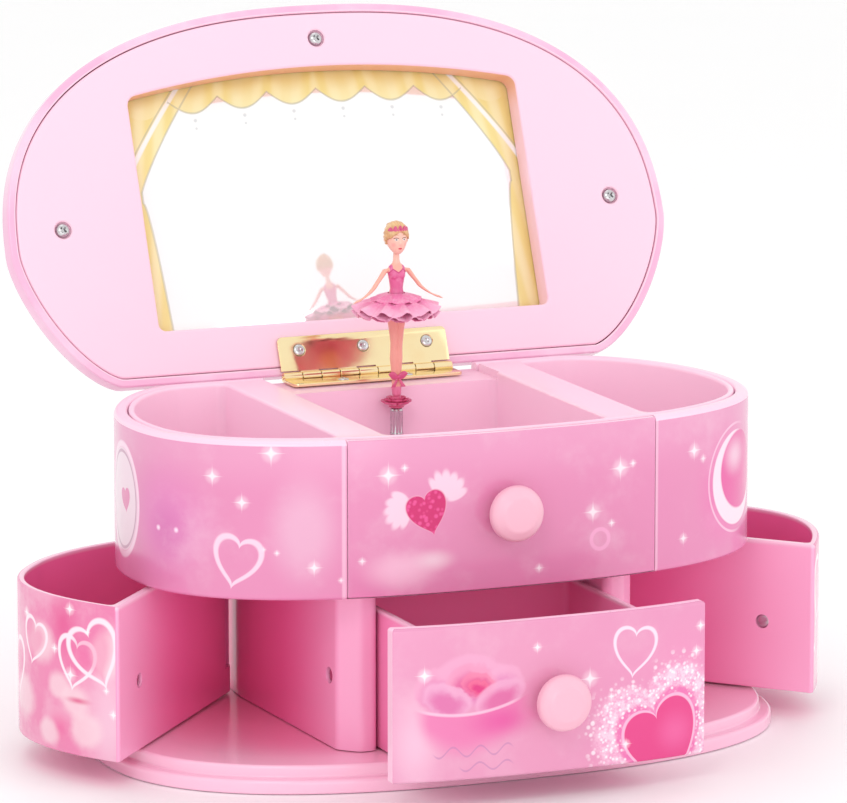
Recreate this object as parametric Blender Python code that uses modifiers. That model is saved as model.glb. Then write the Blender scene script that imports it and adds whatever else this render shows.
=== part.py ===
"""Ballerina jewellery box: oval base, two swing-out side trays, a pulled-out drawer,
a fixed middle tier with three open compartments, a hinged mirror lid and a dancer
that turns on a spring movement. Units are metres, +Z is up and the front faces -Y."""
import math

import bmesh
import bpy
import numpy as np
from mathutils import Matrix, Vector

MM = 0.001

# Case outline, seen from above
HALF_WIDTH = 100.0
FRONT_DEPTH = 59.0
BACK_DEPTH = 53.0
BACK_STRAIGHT = 64.0
FRONT_POWER = 2.55
BACK_POWER = 1.75
CASE_POINTS = 96

# Heights of the fixed tiers
BASE_TOP = 8.0
BASE_STEP = 4.4
BASE_REACH = 8.0
BASE_STEP_REACH = 4.2
LOWER_TOP = 56.7
DECK_UNDER = 57.0
DECK_TOP = 59.5
RIM = 105.0
SHELL_WALL = 4.2
GAP = 0.3

# Front panel of the middle tier and drawer front
FRONT_HALF = 50.0
PANEL_THICK = 1.9
DRAWER_FRONT_THICK = 3.5
DRAWER_FRONT_LOW = 8.8
DRAWER_FRONT_HIGH = 55.2
DRAWER_HALF = 36.4
DRAWER_BACK = 11.5
DRAWER_WALL_TOP = 51.0
DRAWER_PULL = 35.0
DRAWER_WALL = 2.0

# Partitions and back wall of the lower tier
PARTITION_INNER = 37.0
PARTITION_OUTER = 50.2
PARTITION_NOSE = -47.0
BACK_WALL_INNER = 49.4
BACK_WALL_OUTER = 52.0

# Swing-out side trays
PIVOT_X = 56.0
PIVOT_Y = 42.0
TRAY_SIDE = 50.8
TRAY_LOW = 8.6
TRAY_HIGH = 55.8
TRAY_WALL = 2.2
TRAY_OPEN = 41.0
CATCH_Y = -40.0
CATCH_Z = 30.0

# Compartments of the top tray
WELL_HALF = 36.0
SIDE_WELL = 50.0
WELL_FLOOR = 63.0
WELL_WALL = 1.9
LEDGE_Y = 33.5
LEDGE_Z = 102.5

# Lid and hinge
HINGE_Y = 51.5
HINGE_Z = 104.4
LID_HALF = 111.0
LID_NEAR = 1.0
LID_FAR = 120.0
LID_WIDEST = 45.0
LID_STRAIGHT = 80.0
LID_FACE = 1.8
LID_HEIGHT = 13.5
LID_OPEN = 112.0
HINGE_HALF = 28.6
KNUCKLES = 9
KNUCKLE_RADIUS = 1.5
WINDOW_HALF = 66.0
WINDOW_LOW = 18.0
WINDOW_HIGH = 93.0
WINDOW_ARCH = 7.0
MIRROR_DEPTH = 7.7
MIRROR_THICK = 1.8
COLLAR_WALL = 1.6

# Knobs
KNOB_RADIUS = 8.6
KNOB_REACH = 9.0
MIDDLE_KNOB_Z = 81.0
DRAWER_KNOB_Z = 31.0

# Dancer
DANCER_Y = 28.0
FOLD_Z = 80.0
FLOWER_LOW = 96.9
FIGURE_LOW = 100.6
HEAD_TOP = 155.6

# Movement
KEY_Z = 19.0
GOVERNOR_REACH = 13.5

# Where the screws go. Those of the lid are (across, distance from the hinge).
LID_SCREWS = ((-93.0, 52.0), (0.0, 109.0), (93.0, 52.0))
LID_LEAF_SCREWS = (-21.6, 0.0, 21.6)
CASE_LEAF_SCREWS = (-10.8, 10.8)
BASE_SCREWS = ((-43.0, -32.0), (43.0, -32.0), (-43.5, 40.0), (43.5, 40.0))
BED_SCREWS = ((-26.0, 20.0), (26.0, 20.0))
HINGE_SCREW = [(0.4, -5.0), (0.8, -4.4), (0.8, -0.1), (1.9, 0.0), (1.9, 0.35), (1.4, 0.6)]


def clear_scene():
    for obj in list(bpy.data.objects):
        bpy.data.objects.remove(obj, do_unlink=True)


def make_collection(name):
    found = bpy.data.collections.new(name)
    bpy.context.scene.collection.children.link(found)
    return found


def material(name, colour, roughness, metallic=0.0):
    made = bpy.data.materials.new(name)
    made.use_nodes = True
    shader = made.node_tree.nodes["Principled BSDF"]
    shader.inputs["Base Color"].default_value = (*colour, 1.0)
    shader.inputs["Roughness"].default_value = roughness
    shader.inputs["Metallic"].default_value = metallic
    made.diffuse_color = (*colour, 1.0)
    return made


def place(name, mesh, look=None, where=None):
    """Puts a mesh in the scene as a named object, shaded smooth across its gentle edges."""
    if look is not None:
        mesh.materials.append(look)
    mesh.shade_smooth()
    mesh.set_sharp_from_angle(angle=math.radians(35))
    made = bpy.data.objects.new(name, mesh)
    (where or PARTS).objects.link(made)
    return made


def mesh_from(name, work):
    """Turns a finished bmesh into mesh data, with its faces turned outwards."""
    bmesh.ops.recalc_face_normals(work, faces=work.faces)
    mesh = bpy.data.meshes.new(name)
    work.to_mesh(mesh)
    work.free()
    return mesh


def loft(name, rings, look=None, where=None, loop=False):
    """A closed body through rings of points: capped at both ends, or joined end to end."""
    work = bmesh.new()
    count = len(rings[0])
    made = [[work.verts.new(Vector(point) * MM) for point in ring] for ring in rings]
    pairs = list(zip(made, made[1:]))
    if loop:
        pairs.append((made[-1], made[0]))
    for low, high in pairs:
        for i in range(count):
            j = (i + 1) % count
            work.faces.new((low[i], low[j], high[j], high[i]))
    if not loop:
        work.faces.new(made[0][::-1])
        work.faces.new(made[-1])
    return place(name, mesh_from(name, work), look, where)


def level(outline, z):
    return [(x, y, z) for x, y in outline]


def signed_area(outline):
    path = np.array(outline, float)
    after = np.roll(path, -1, axis=0)
    return 0.5 * float((path[:, 0] * after[:, 1] - after[:, 0] * path[:, 1]).sum())


def prism(name, outline, low, high, look=None, where=None):
    """A flat outline at its lower height, given its thickness by Solidify."""
    points = outline if signed_area(outline) > 0 else outline[::-1]
    work = bmesh.new()
    work.faces.new([work.verts.new(Vector((x, y, low)) * MM) for x, y in points])
    mesh = bpy.data.meshes.new(name)
    work.to_mesh(mesh)
    work.free()
    made = place(name, mesh, look, where)
    thicken = made.modifiers.new("thickness", "SOLIDIFY")
    thicken.thickness = (high - low) * MM
    thicken.offset = 1.0
    return made


def round_box(x0, x1, y0, y1, radius, steps=4):
    """A rectangle with rounded corners, anticlockwise."""
    points = []
    corners = ((x1 - radius, y0 + radius, -90), (x1 - radius, y1 - radius, 0),
               (x0 + radius, y1 - radius, 90), (x0 + radius, y0 + radius, 180))
    for cx, cy, start in corners:
        for step in range(steps + 1):
            angle = math.radians(start + 90.0 * step / steps)
            points.append((cx + radius * math.cos(angle), cy + radius * math.sin(angle)))
    return points


def box(name, x, y, z, look=None, where=None):
    """A box between two limits on each axis."""
    limits = np.array([x, y, z], float) * MM
    size = Vector((limits[:, 1] - limits[:, 0]).tolist())
    middle = Vector(limits.mean(axis=1).tolist())
    work = bmesh.new()
    bmesh.ops.create_cube(work, size=1.0, matrix=Matrix.LocRotScale(middle, None, size))
    return place(name, mesh_from(name, work), look, where)


def turned(name, profile, look=None, where=None, sides=20, loop=False):
    """A profile of (radius, height) pairs in millimetres, turned about Z by a Screw modifier."""
    points = list(profile)
    if not loop:
        points = [(0.0, points[0][1])] + points + [(0.0, points[-1][1])]
    if signed_area(points) > 0:
        points = points[::-1]
    work = bmesh.new()
    made = [work.verts.new(Vector((radius, 0.0, height)) * MM) for radius, height in points]
    for first, second in zip(made, made[1:]):
        work.edges.new((first, second))
    if loop:
        work.edges.new((made[-1], made[0]))
    mesh = bpy.data.meshes.new(name)
    work.to_mesh(mesh)
    work.free()
    obj = place(name, mesh, look, where)
    turn = obj.modifiers.new("turn", "SCREW")
    turn.axis = "Z"
    turn.steps = sides
    turn.render_steps = sides
    turn.use_merge_vertices = True
    turn.merge_threshold = 0.00001
    return obj


def cutter_rod(name, radius, length, centre, direction, sides=16):
    """A plain round cutter about a centre, along a direction."""
    work = bmesh.new()
    bmesh.ops.create_cone(work, cap_ends=True, segments=sides, radius1=radius * MM,
                          radius2=radius * MM, depth=length * MM)
    return aim(place(name, mesh_from(name, work), None, CUTTERS), centre, direction)


def aim(obj, point, direction):
    """Stands the object's Z along a direction, with its origin at a point in millimetres."""
    turn = Vector((0, 0, 1)).rotation_difference(Vector(direction).normalized())
    obj.matrix_world = Matrix.Translation(Vector(point) * MM) @ turn.to_matrix().to_4x4()
    return obj


def cut(target, cutter, operation="DIFFERENCE"):
    cutter.hide_render = True
    cutter.display_type = "WIRE"
    made = target.modifiers.new(cutter.name, "BOOLEAN")
    made.operation = operation
    made.solver = "EXACT"
    made.object = cutter


def cutters_of(obj):
    return [modifier.object for modifier in obj.modifiers if modifier.type == "BOOLEAN"]


def axis(name, point, parent=None):
    """An empty on a joint's axis. A moving piece hangs from it."""
    made = bpy.data.objects.new(name, None)
    made.empty_display_size = 0.01
    PARTS.objects.link(made)
    made.parent = parent
    made.location = Vector(point) * MM
    return made


def hang(parent, *objs):
    for obj in objs:
        obj.parent = parent


# ---------------------------------------------------------------- outlines


def resample(points, count, closed=True):
    """Evenly spaced points along a polyline."""
    path = np.array(points + [points[0]] if closed else points, float)
    steps = np.hypot(*np.diff(path, axis=0).T)
    along = np.concatenate([[0.0], np.cumsum(steps)])
    stops = np.linspace(0.0, along[-1], count, endpoint=not closed)
    xs = np.interp(stops, along, path[:, 0])
    ys = np.interp(stops, along, path[:, 1])
    return list(zip(xs.tolist(), ys.tolist()))


def quarter(width, depth, power, straight=0.0, count=90):
    """A rounded corner from (straight + width, 0) round to (straight, depth)."""
    points = []
    for step in range(count + 1):
        angle = math.pi / 2 * step / count
        across = straight + width * math.cos(angle) ** (2 / power)
        points.append((across, depth * math.sin(angle) ** (2 / power)))
    return points


def offset(points, distance, closed=True):
    """Moves each point outwards of an anticlockwise outline by a distance."""
    path = np.array(points, float)
    before = np.roll(path, 1, axis=0)
    after = np.roll(path, -1, axis=0)
    if not closed:
        before[0] = path[0]
        after[-1] = path[-1]
    along = after - before
    along /= np.hypot(*along.T)[:, None]
    out = np.column_stack([along[:, 1], -along[:, 0]])
    return [tuple(p) for p in (path + out * distance).tolist()]


def case_line():
    """The outline of the middle tier as a fine anticlockwise line from the right-hand end."""
    back = quarter(HALF_WIDTH - BACK_STRAIGHT, BACK_DEPTH, BACK_POWER, BACK_STRAIGHT)
    front = quarter(HALF_WIDTH, -FRONT_DEPTH, FRONT_POWER)
    left_back = [(-x, y) for x, y in reversed(back)]
    left_front = [(-x, y) for x, y in front]
    right_front = list(reversed(front))
    return back + left_back + left_front[1:] + right_front[1:-1]


def case_outline(distance=0.0, count=CASE_POINTS):
    return offset(resample(case_line(), count), distance)


def lid_line():
    """The outline of the lid on its face: x across, y the distance from the hinge axis."""
    far = quarter(LID_HALF, LID_FAR - LID_WIDEST, 2.4)
    near = quarter(LID_HALF - LID_STRAIGHT, LID_WIDEST - LID_NEAR, 1.5, LID_STRAIGHT)
    points = [(x, LID_WIDEST + y) for x, y in far]
    points += [(-x, LID_WIDEST + y) for x, y in reversed(far)][1:]
    points += [(-x, LID_WIDEST - y) for x, y in near][1:]
    points += [(x, LID_WIDEST - y) for x, y in reversed(near)][:-1]
    return points


def lid_outline(distance=0.0, count=CASE_POINTS):
    return offset(resample(lid_line(), count), distance)


def front_arc(half, distance, count):
    """The front of the case between two upright edges, left to right, moved outwards."""
    fine = [p for p in offset(case_line(), distance) if p[1] < 0]
    fine.sort()
    xs = np.linspace(-half, half, count)
    ys = np.interp(xs, [p[0] for p in fine], [p[1] for p in fine])
    return list(zip(xs.tolist(), ys.tolist()))


def front_strip(half, outer, inner, count=25):
    return front_arc(half, outer, count) + front_arc(half, inner, count)[::-1]


# ---------------------------------------------------------------- fixed case


def build_base():
    rings = [level(case_outline(BASE_REACH - 0.8), 0.0),
             level(case_outline(BASE_REACH), 0.8),
             level(case_outline(BASE_REACH), BASE_STEP - 1.2),
             level(case_outline(BASE_REACH - 0.4), BASE_STEP - 0.4),
             level(case_outline(BASE_REACH - 1.2), BASE_STEP),
             level(case_outline(BASE_STEP_REACH + 0.4), BASE_STEP),
             level(case_outline(BASE_STEP_REACH), BASE_STEP + 0.4),
             level(case_outline(BASE_STEP_REACH), BASE_TOP - 1.0),
             level(case_outline(BASE_STEP_REACH - 0.3), BASE_TOP - 0.3),
             level(case_outline(BASE_STEP_REACH - 1.0), BASE_TOP)]
    base = loft("base_plate", rings, PINK)
    for side in (-1, 1):
        cut(base, cutter_rod(f"base_pin_hole_{side}", 1.5, 6.0,
                             (side * PIVOT_X, PIVOT_Y, BASE_TOP), (0, 0, 1)))
    for index, (x, y) in enumerate(BASE_SCREWS):
        cut(base, cutter_rod(f"base_screw_hole_{index}", 1.5, 20.0, (x, y, 2.0), (0, 0, 1)))
        cut(base, cutter_rod(f"base_screw_seat_{index}", 3.2, 5.0, (x, y, 0.0), (0, 0, 1)))
    for index, (x, y) in enumerate(BED_SCREWS):
        cut(base, cutter_rod(f"bed_screw_hole_{index}", 1.3, 8.0, (x, y, 8.0), (0, 0, 1)))
    return base


def build_base_screws():
    profile = [(2.6, 0.6), (2.9, 0.9), (2.9, 2.2), (1.2, 2.3), (1.2, 13.2), (0.4, 14.0)]
    for index, (x, y) in enumerate(BASE_SCREWS):
        screw = turned(f"base_screw_{index + 1}", profile, STEEL, sides=14)
        aim(screw, (x, y, 0.0), (0, 0, 1))


def partition_outline(side):
    """One partition, from the back wall forward to its rounded front edge."""
    points = [(PARTITION_INNER, BACK_WALL_INNER), (PARTITION_INNER, PARTITION_NOSE + 1.2)]
    points += [(PARTITION_INNER + 0.9, PARTITION_NOSE + 0.2), (PARTITION_INNER + 2.4, PARTITION_NOSE)]
    points += [(PARTITION_INNER + 5.4, PARTITION_NOSE + 0.9), (PARTITION_INNER + 8.2, PARTITION_NOSE + 2.6)]
    points += [(PARTITION_INNER + 10.2, PARTITION_NOSE + 4.8)]
    points += [(PARTITION_INNER + 10.8, PARTITION_NOSE + 6.4)]
    points += [(PARTITION_OUTER - 2.0, -20.0), (PARTITION_OUTER, 34.0)]
    return [(side * x, y) for x, y in points]


def build_lower_frame():
    """Back wall and both partitions, moulded as one piece."""
    right = partition_outline(1)
    left = partition_outline(-1)
    outer = [(PARTITION_OUTER - 1.0, 44.0), (PARTITION_OUTER - 1.6, BACK_WALL_OUTER)]
    points = right + outer + [(-x, y) for x, y in reversed(outer)] + left[::-1]
    frame = prism("lower_frame", points, BASE_TOP + GAP, LOWER_TOP, PINK)
    cut(frame, cutter_rod("key_hole", 3.2, 12.0, (0, BACK_WALL_OUTER, KEY_Z), (0, 1, 0)))
    for index, (x, y) in enumerate(BASE_SCREWS):
        cut(frame, cutter_rod(f"frame_screw_hole_{index}", 1.5, 14.0, (x, y, 8.0), (0, 0, 1)))
    for side in (-1, 1):
        spot = (side * (PARTITION_INNER + 11.2), CATCH_Y + 4.0, CATCH_Z)
        cut(frame, cutter_rod(f"case_catch_hole_{side}", 2.5, 5.0, spot, (1, 0, 0)))
    return frame


def build_case_catches():
    """The small steel studs let into the partitions that hold the closed trays."""
    for side, word in ((-1, "left"), (1, "right")):
        stud = turned(f"case_catch_{word}", [(2.1, 0.0), (2.1, 1.6), (1.7, 2.0)], STEEL, sides=16)
        aim(stud, (side * (PARTITION_INNER + 9.1), CATCH_Y + 4.0, CATCH_Z), (side, 0, 0))


def build_middle_shell():
    """The oval tub of the middle tier: printed wall and the deck under it."""
    inner = -SHELL_WALL
    rings = [level(case_outline(-1.2), DECK_UNDER),
             level(case_outline(-0.4), DECK_UNDER + 0.3),
             level(case_outline(0.0), DECK_UNDER + 1.2),
             level(case_outline(0.0), RIM - 1.4),
             level(case_outline(-0.4), RIM - 0.4),
             level(case_outline(-1.4), RIM),
             level(case_outline(inner), RIM),
             level(case_outline(inner), DECK_TOP)]
    shell = loft("middle_shell", rings, PRINTED)
    pocket = prism("front_panel_pocket", front_strip(FRONT_HALF + 0.2, 3.0, -PANEL_THICK - GAP),
                   DECK_UNDER + 0.2, RIM + 2.0, None, CUTTERS)
    cut(shell, pocket)
    ledge = box("shell_ledge_cut", (-WELL_HALF, WELL_HALF), (LEDGE_Y + 9.0, 60.0),
                (LEDGE_Z, RIM + 5.0), None, CUTTERS)
    cut(shell, ledge)
    cut(shell, cutter_rod("deck_spindle_hole", 3.0, 10.0, (0, DANCER_Y, DECK_UNDER + 1.0), (0, 0, 1)))
    knob_hole = (0.0, -FRONT_DEPTH + 3.0, MIDDLE_KNOB_Z)
    cut(shell, cutter_rod("shell_knob_hole", 1.7, 12.0, knob_hole, (0, 1, 0)))
    cut(shell, cutter_rod("shell_knob_screw_seat", 3.1, 5.3,
                          (0.0, -FRONT_DEPTH + SHELL_WALL + 1.15, MIDDLE_KNOB_Z), (0, 1, 0)))
    for side in (-1, 1):
        cut(shell, cutter_rod(f"deck_pin_hole_{side}", 1.5, 3.6,
                              (side * PIVOT_X, PIVOT_Y, DECK_UNDER), (0, 0, 1)))
    return shell


def build_middle_front():
    """The fixed front of the middle tier, made to look like a drawer."""
    panel = prism("middle_front_panel", front_strip(FRONT_HALF - 0.1, 0.0, -PANEL_THICK),
                  DECK_UNDER + 0.5, RIM - 0.2, PRINTED)
    cut(panel, cutter_rod("middle_front_hole", 1.7, 12.0, (0, -FRONT_DEPTH, MIDDLE_KNOB_Z), (0, 1, 0)))
    return panel


def build_knob(name, back, z):
    """A round flattened knob standing out towards -Y, with a blind screw bore in its back."""
    radius = KNOB_RADIUS
    profile = [(1.3, 4.4), (1.3, 0.0), (3.4, 0.0), (3.2, 1.4), (radius * 0.72, 2.3),
               (radius * 0.95, 3.3), (radius, 4.7), (radius * 0.95, 6.2), (radius * 0.78, 7.6),
               (radius * 0.5, 8.6), (radius * 0.2, KNOB_REACH)]
    knob = turned(name, profile, KNOB, sides=24)
    return aim(knob, (0.0, back, z), (0, -1, 0))


def build_knob_screw(name, head, z, length):
    profile = [(2.2, 0.0), (2.6, 0.4), (2.6, 1.2), (1.0, 1.3), (1.0, length - 0.6), (0.4, length)]
    screw = turned(name, profile, STEEL, sides=14)
    return aim(screw, (0.0, head, z), (0, -1, 0))


def well_outline(kind):
    """One compartment of the top tray, seen from above."""
    reach = -(SHELL_WALL + GAP + WELL_WALL)
    edge = offset(resample(case_line(), 180), reach)
    if kind == "centre":
        front = [p for p in edge if p[1] < 0 and abs(p[0]) < WELL_HALF - 1.0]
        front.sort()
        low = front[0][1]
        return ([(-WELL_HALF, low + 1.5)] + front[::3] + [(WELL_HALF, low + 1.5)]
                + [(WELL_HALF, LEDGE_Y - 2.0), (WELL_HALF - 2.0, LEDGE_Y)]
                + [(-WELL_HALF + 2.0, LEDGE_Y), (-WELL_HALF, LEDGE_Y - 2.0)])
    right = [p for p in edge if p[0] > SIDE_WELL + 1.0]
    right.sort(key=lambda p: math.atan2(p[1], p[0]))
    first, last = right[0], right[-1]
    points = [(SIDE_WELL, first[1] + 1.5)] + right[::2]
    if points[-1] != last:
        points.append(last)
    points.append((SIDE_WELL, last[1] - 1.5))
    return points if kind == "right" else [(-x, y) for x, y in points]


def build_top_tray():
    """The insert with three open compartments that drops into the middle tier."""
    reach = -(SHELL_WALL + GAP)
    rings = [level(case_outline(reach), DECK_TOP + GAP),
             level(case_outline(reach), RIM - 0.3),
             level(case_outline(reach - 0.3), RIM)]
    tray = loft("top_tray", rings, PINK_LIGHT)
    for kind in ("left", "centre", "right"):
        cut(tray, prism(f"well_{kind}", well_outline(kind), WELL_FLOOR, RIM + 5.0, None, CUTTERS))
    for side in (-1, 1):
        x = sorted((side * (WELL_HALF + 2.2), side * (SIDE_WELL - 2.2)))
        cut(tray, box(f"rib_hollow_{side}", x, (-46.0, 38.0), (DECK_TOP - 2.0, RIM - 3.0),
                      None, CUTTERS))
    cut(tray, box("ledge_cut", (-WELL_HALF, WELL_HALF), (LEDGE_Y - 1.0, 60.0),
                  (LEDGE_Z, RIM + 5.0), None, CUTTERS))
    cut(tray, box("back_hollow", (-33.0, 33.0), (36.0, 46.6), (DECK_TOP - 2.0, LEDGE_Z - 8.0),
                  None, CUTTERS))
    cut(tray, cutter_rod("tray_spindle_hole", 3.6, 16.0, (0, DANCER_Y, WELL_FLOOR), (0, 0, 1)))
    for index, x in enumerate(CASE_LEAF_SCREWS):
        cut(tray, cutter_rod(f"tray_hinge_hole_{index}", 1.1, 24.0,
                             (x, HINGE_Y - 6.4, LEDGE_Z), (0, 0, 1), 12))
    return tray


# ---------------------------------------------------------------- hinge and lid


def knuckle_spans(first):
    """Every other knuckle along the hinge, with a small gap at each side."""
    width = 2 * HINGE_HALF / KNUCKLES
    spans = []
    for index in range(first, KNUCKLES, 2):
        start = -HINGE_HALF + index * width
        spans.append((start + 0.12, start + width - 0.12))
    return spans


def leaf_outline(first, reach, near):
    """A hinge leaf seen from above, with the notches that clear the other leaf's knuckles."""
    edge = []
    width = 2 * HINGE_HALF / KNUCKLES
    for index in range(KNUCKLES):
        start = -HINGE_HALF + index * width
        mine = index % 2 == first
        depth = 0.35 if mine else near
        edge.append((start + (0.12 if mine else -0.12), depth))
        edge.append((start + width + (-0.12 if mine else 0.12), depth))
    edge[0] = (-HINGE_HALF + 0.12, edge[0][1])
    edge[-1] = (HINGE_HALF - 0.12, edge[-1][1])
    return edge + [(HINGE_HALF - 0.12, reach), (-HINGE_HALF + 0.12, reach)]


def build_leaf(name, first, z_low, z_high, reach, centre):
    """One leaf with its knuckles bored for the pin. It is drawn about the hinge axis."""
    leaf = prism(name, [(x, -y) for x, y in leaf_outline(first, reach, 1.9)], z_low, z_high, BRASS)
    for index, (start, end) in enumerate(knuckle_spans(first)):
        knuckle = turned(f"{name}_knuckle_{index}", [(KNUCKLE_RADIUS, start), (KNUCKLE_RADIUS, end)],
                         None, CUTTERS, 14)
        aim(knuckle, centre, (1, 0, 0))
        cut(leaf, knuckle, "UNION")
    bore = cutter_rod(f"{name}_bore", 0.95, 80.0, centre, (1, 0, 0), 12)
    cut(leaf, bore)
    return leaf


def build_hinge(lid_axis):
    z = (HINGE_Y, HINGE_Z)
    body = build_leaf("hinge_leaf_case", 0, -1.42, -0.5, 9.6, (0, 0, 0))
    for obj in [body] + cutters_of(body):
        obj.matrix_world = Matrix.Translation(Vector((0, *z)) * MM) @ obj.matrix_world
    for index, x in enumerate(CASE_LEAF_SCREWS):
        spot = (x, HINGE_Y - 6.4, HINGE_Z - 1.0)
        cut(body, cutter_rod(f"case_leaf_hole_{index}", 1.1, 6.0, spot, (0, 0, 1), 12))
        seat = (x, HINGE_Y - 6.4, HINGE_Z + 1.15)
        cut(body, cutter_rod(f"case_leaf_seat_{index}", 2.2, 4.0, seat, (0, 0, 1), 14))
        screw = turned(f"hinge_case_screw_{index + 1}", HINGE_SCREW, STEEL, sides=14)
        aim(screw, (x, HINGE_Y - 6.4, HINGE_Z - 0.55), (0, 0, 1))
    pin = turned("hinge_pin", [(0.5, -28.9), (0.65, -28.7), (0.65, 28.7), (0.5, 28.9)], BRASS, sides=12)
    aim(pin, (0, *z), (1, 0, 0))
    leaf = build_leaf("hinge_leaf_lid", 1, 0.5, 1.42, 13.0, (0, 0, 0))
    for index, x in enumerate(LID_LEAF_SCREWS):
        cut(leaf, cutter_rod(f"lid_leaf_hole_{index}", 1.1, 6.0, (x, -8.6, 1.0), (0, 0, 1), 12))
        cut(leaf, cutter_rod(f"lid_leaf_seat_{index}", 2.2, 4.0, (x, -8.6, -1.15), (0, 0, 1), 14))
        screw = turned(f"hinge_lid_screw_{index + 1}", HINGE_SCREW, STEEL, sides=14)
        aim(screw, (x, -8.6, 0.55), (0, 0, -1))
        hang(lid_axis, screw)
    hang(lid_axis, leaf, *cutters_of(leaf))


def flipped(outline):
    """Turns distance from the hinge into -Y, keeping the outline anticlockwise."""
    return [(-x, -y) for x, y in outline]


def lid_level(distance, z, count=CASE_POINTS):
    return level(flipped(lid_outline(distance, count)), z)


def build_lid_shell():
    """The domed outer lid, an upside-down tub with three bosses for the panel's screws."""
    low = LID_FACE
    high = LID_FACE + LID_HEIGHT
    rings = [lid_level(-9.0, high - 2.2), lid_level(-4.2, high - 4.4), lid_level(-2.6, high - 7.6),
             lid_level(-2.6, low + 0.3), lid_level(-2.3, low), lid_level(-0.5, low),
             lid_level(0.0, low + 0.5), lid_level(0.0, high - 6.4), lid_level(-0.8, high - 3.6),
             lid_level(-3.0, high - 1.5), lid_level(-7.0, high - 0.4), lid_level(-14.0, high)]
    shell = loft("lid_shell", rings, PRINTED)
    for index, (x, v) in enumerate(LID_SCREWS):
        boss = turned(f"lid_boss_{index}", [(3.2, LID_FACE + 2.9), (3.2, high - 1.2)], None, CUTTERS, 14)
        aim(boss, (x, -v, 0.0), (0, 0, 1))
        cut(shell, boss, "UNION")
        cut(shell, cutter_rod(f"lid_boss_bore_{index}", 1.3, 14.0, (x, -v, LID_FACE + 1.0), (0, 0, 1), 12))
    return shell


def window_outline(grow=0.0):
    """The window for the mirror: straight sides, small round corners and an arched far edge."""
    half = WINDOW_HALF + grow
    low = WINDOW_LOW - grow
    high = WINDOW_HIGH + grow
    points = [(-half + 1.2, low), (half - 1.2, low), (half - 0.3, low + 0.4), (half, low + 1.4)]
    points += [(half, high - 3.0), (half - 0.8, high - 1.0), (half - 3.0, high + 0.6)]
    for step in range(1, 12):
        across = 1 - step / 6
        points.append(((half - 3.0) * across, high + 0.6 + WINDOW_ARCH * (1 - across * across)))
    points += [(-half + 3.0, high + 0.6), (-half + 0.8, high - 1.0), (-half, high - 3.0)]
    points += [(-half, low + 1.4), (-half + 0.3, low + 0.4)]
    return points


def build_lid_panel():
    """The lid's flat inner face, with a deep collar round the mirror's window and three screw seats."""
    rings = [lid_level(-3.3, LID_FACE + 0.1), lid_level(-2.9, LID_FACE + 0.5),
             lid_level(-2.9, LID_FACE + 2.6)]
    panel = loft("lid_panel", rings, PINK_LIGHT)
    back = LID_FACE + 0.1 + MIRROR_DEPTH - GAP
    collar = prism("mirror_collar", flipped(window_outline(COLLAR_WALL)), LID_FACE + 1.5, back,
                   None, CUTTERS)
    cut(panel, collar, "UNION")
    cut(panel, prism("mirror_window", flipped(window_outline()), 0.0, back + 2.0, None, CUTTERS))
    for index, (x, v) in enumerate(LID_SCREWS):
        cut(panel, cutter_rod(f"panel_hole_{index}", 1.5, 12.0, (x, -v, LID_FACE), (0, 0, 1), 12))
        cut(panel, cutter_rod(f"panel_seat_{index}", 2.9, 3.0, (x, -v, LID_FACE), (0, 0, 1), 16))
    for index, x in enumerate(LID_LEAF_SCREWS):
        cut(panel, cutter_rod(f"panel_hinge_hole_{index}", 1.1, 12.0, (x, -8.6, LID_FACE), (0, 0, 1), 12))
    return panel


def build_mirror():
    """The mirror, held between the back of the collar and the inside of the shell."""
    face = LID_FACE + 0.1 + MIRROR_DEPTH
    return prism("lid_mirror", flipped(window_outline(COLLAR_WALL)), face, face + MIRROR_THICK, MIRROR)


def build_lid(lid_axis):
    hang_list = [build_lid_shell(), build_lid_panel(), build_mirror()]
    for index, (x, v) in enumerate(LID_SCREWS):
        screw = turned(f"lid_panel_screw_{index + 1}",
                       [(2.0, 0.0), (2.3, 0.3), (2.3, 1.0), (1.0, 1.1), (1.0, 6.4), (0.4, 7.0)],
                       STEEL, sides=14)
        aim(screw, (x, -v, LID_FACE + 0.25), (0, 0, 1))
        hang_list.append(screw)
    hang(lid_axis, *hang_list)
    for obj in hang_list:
        hang(lid_axis, *cutters_of(obj))


# ---------------------------------------------------------------- drawer and trays


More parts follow.
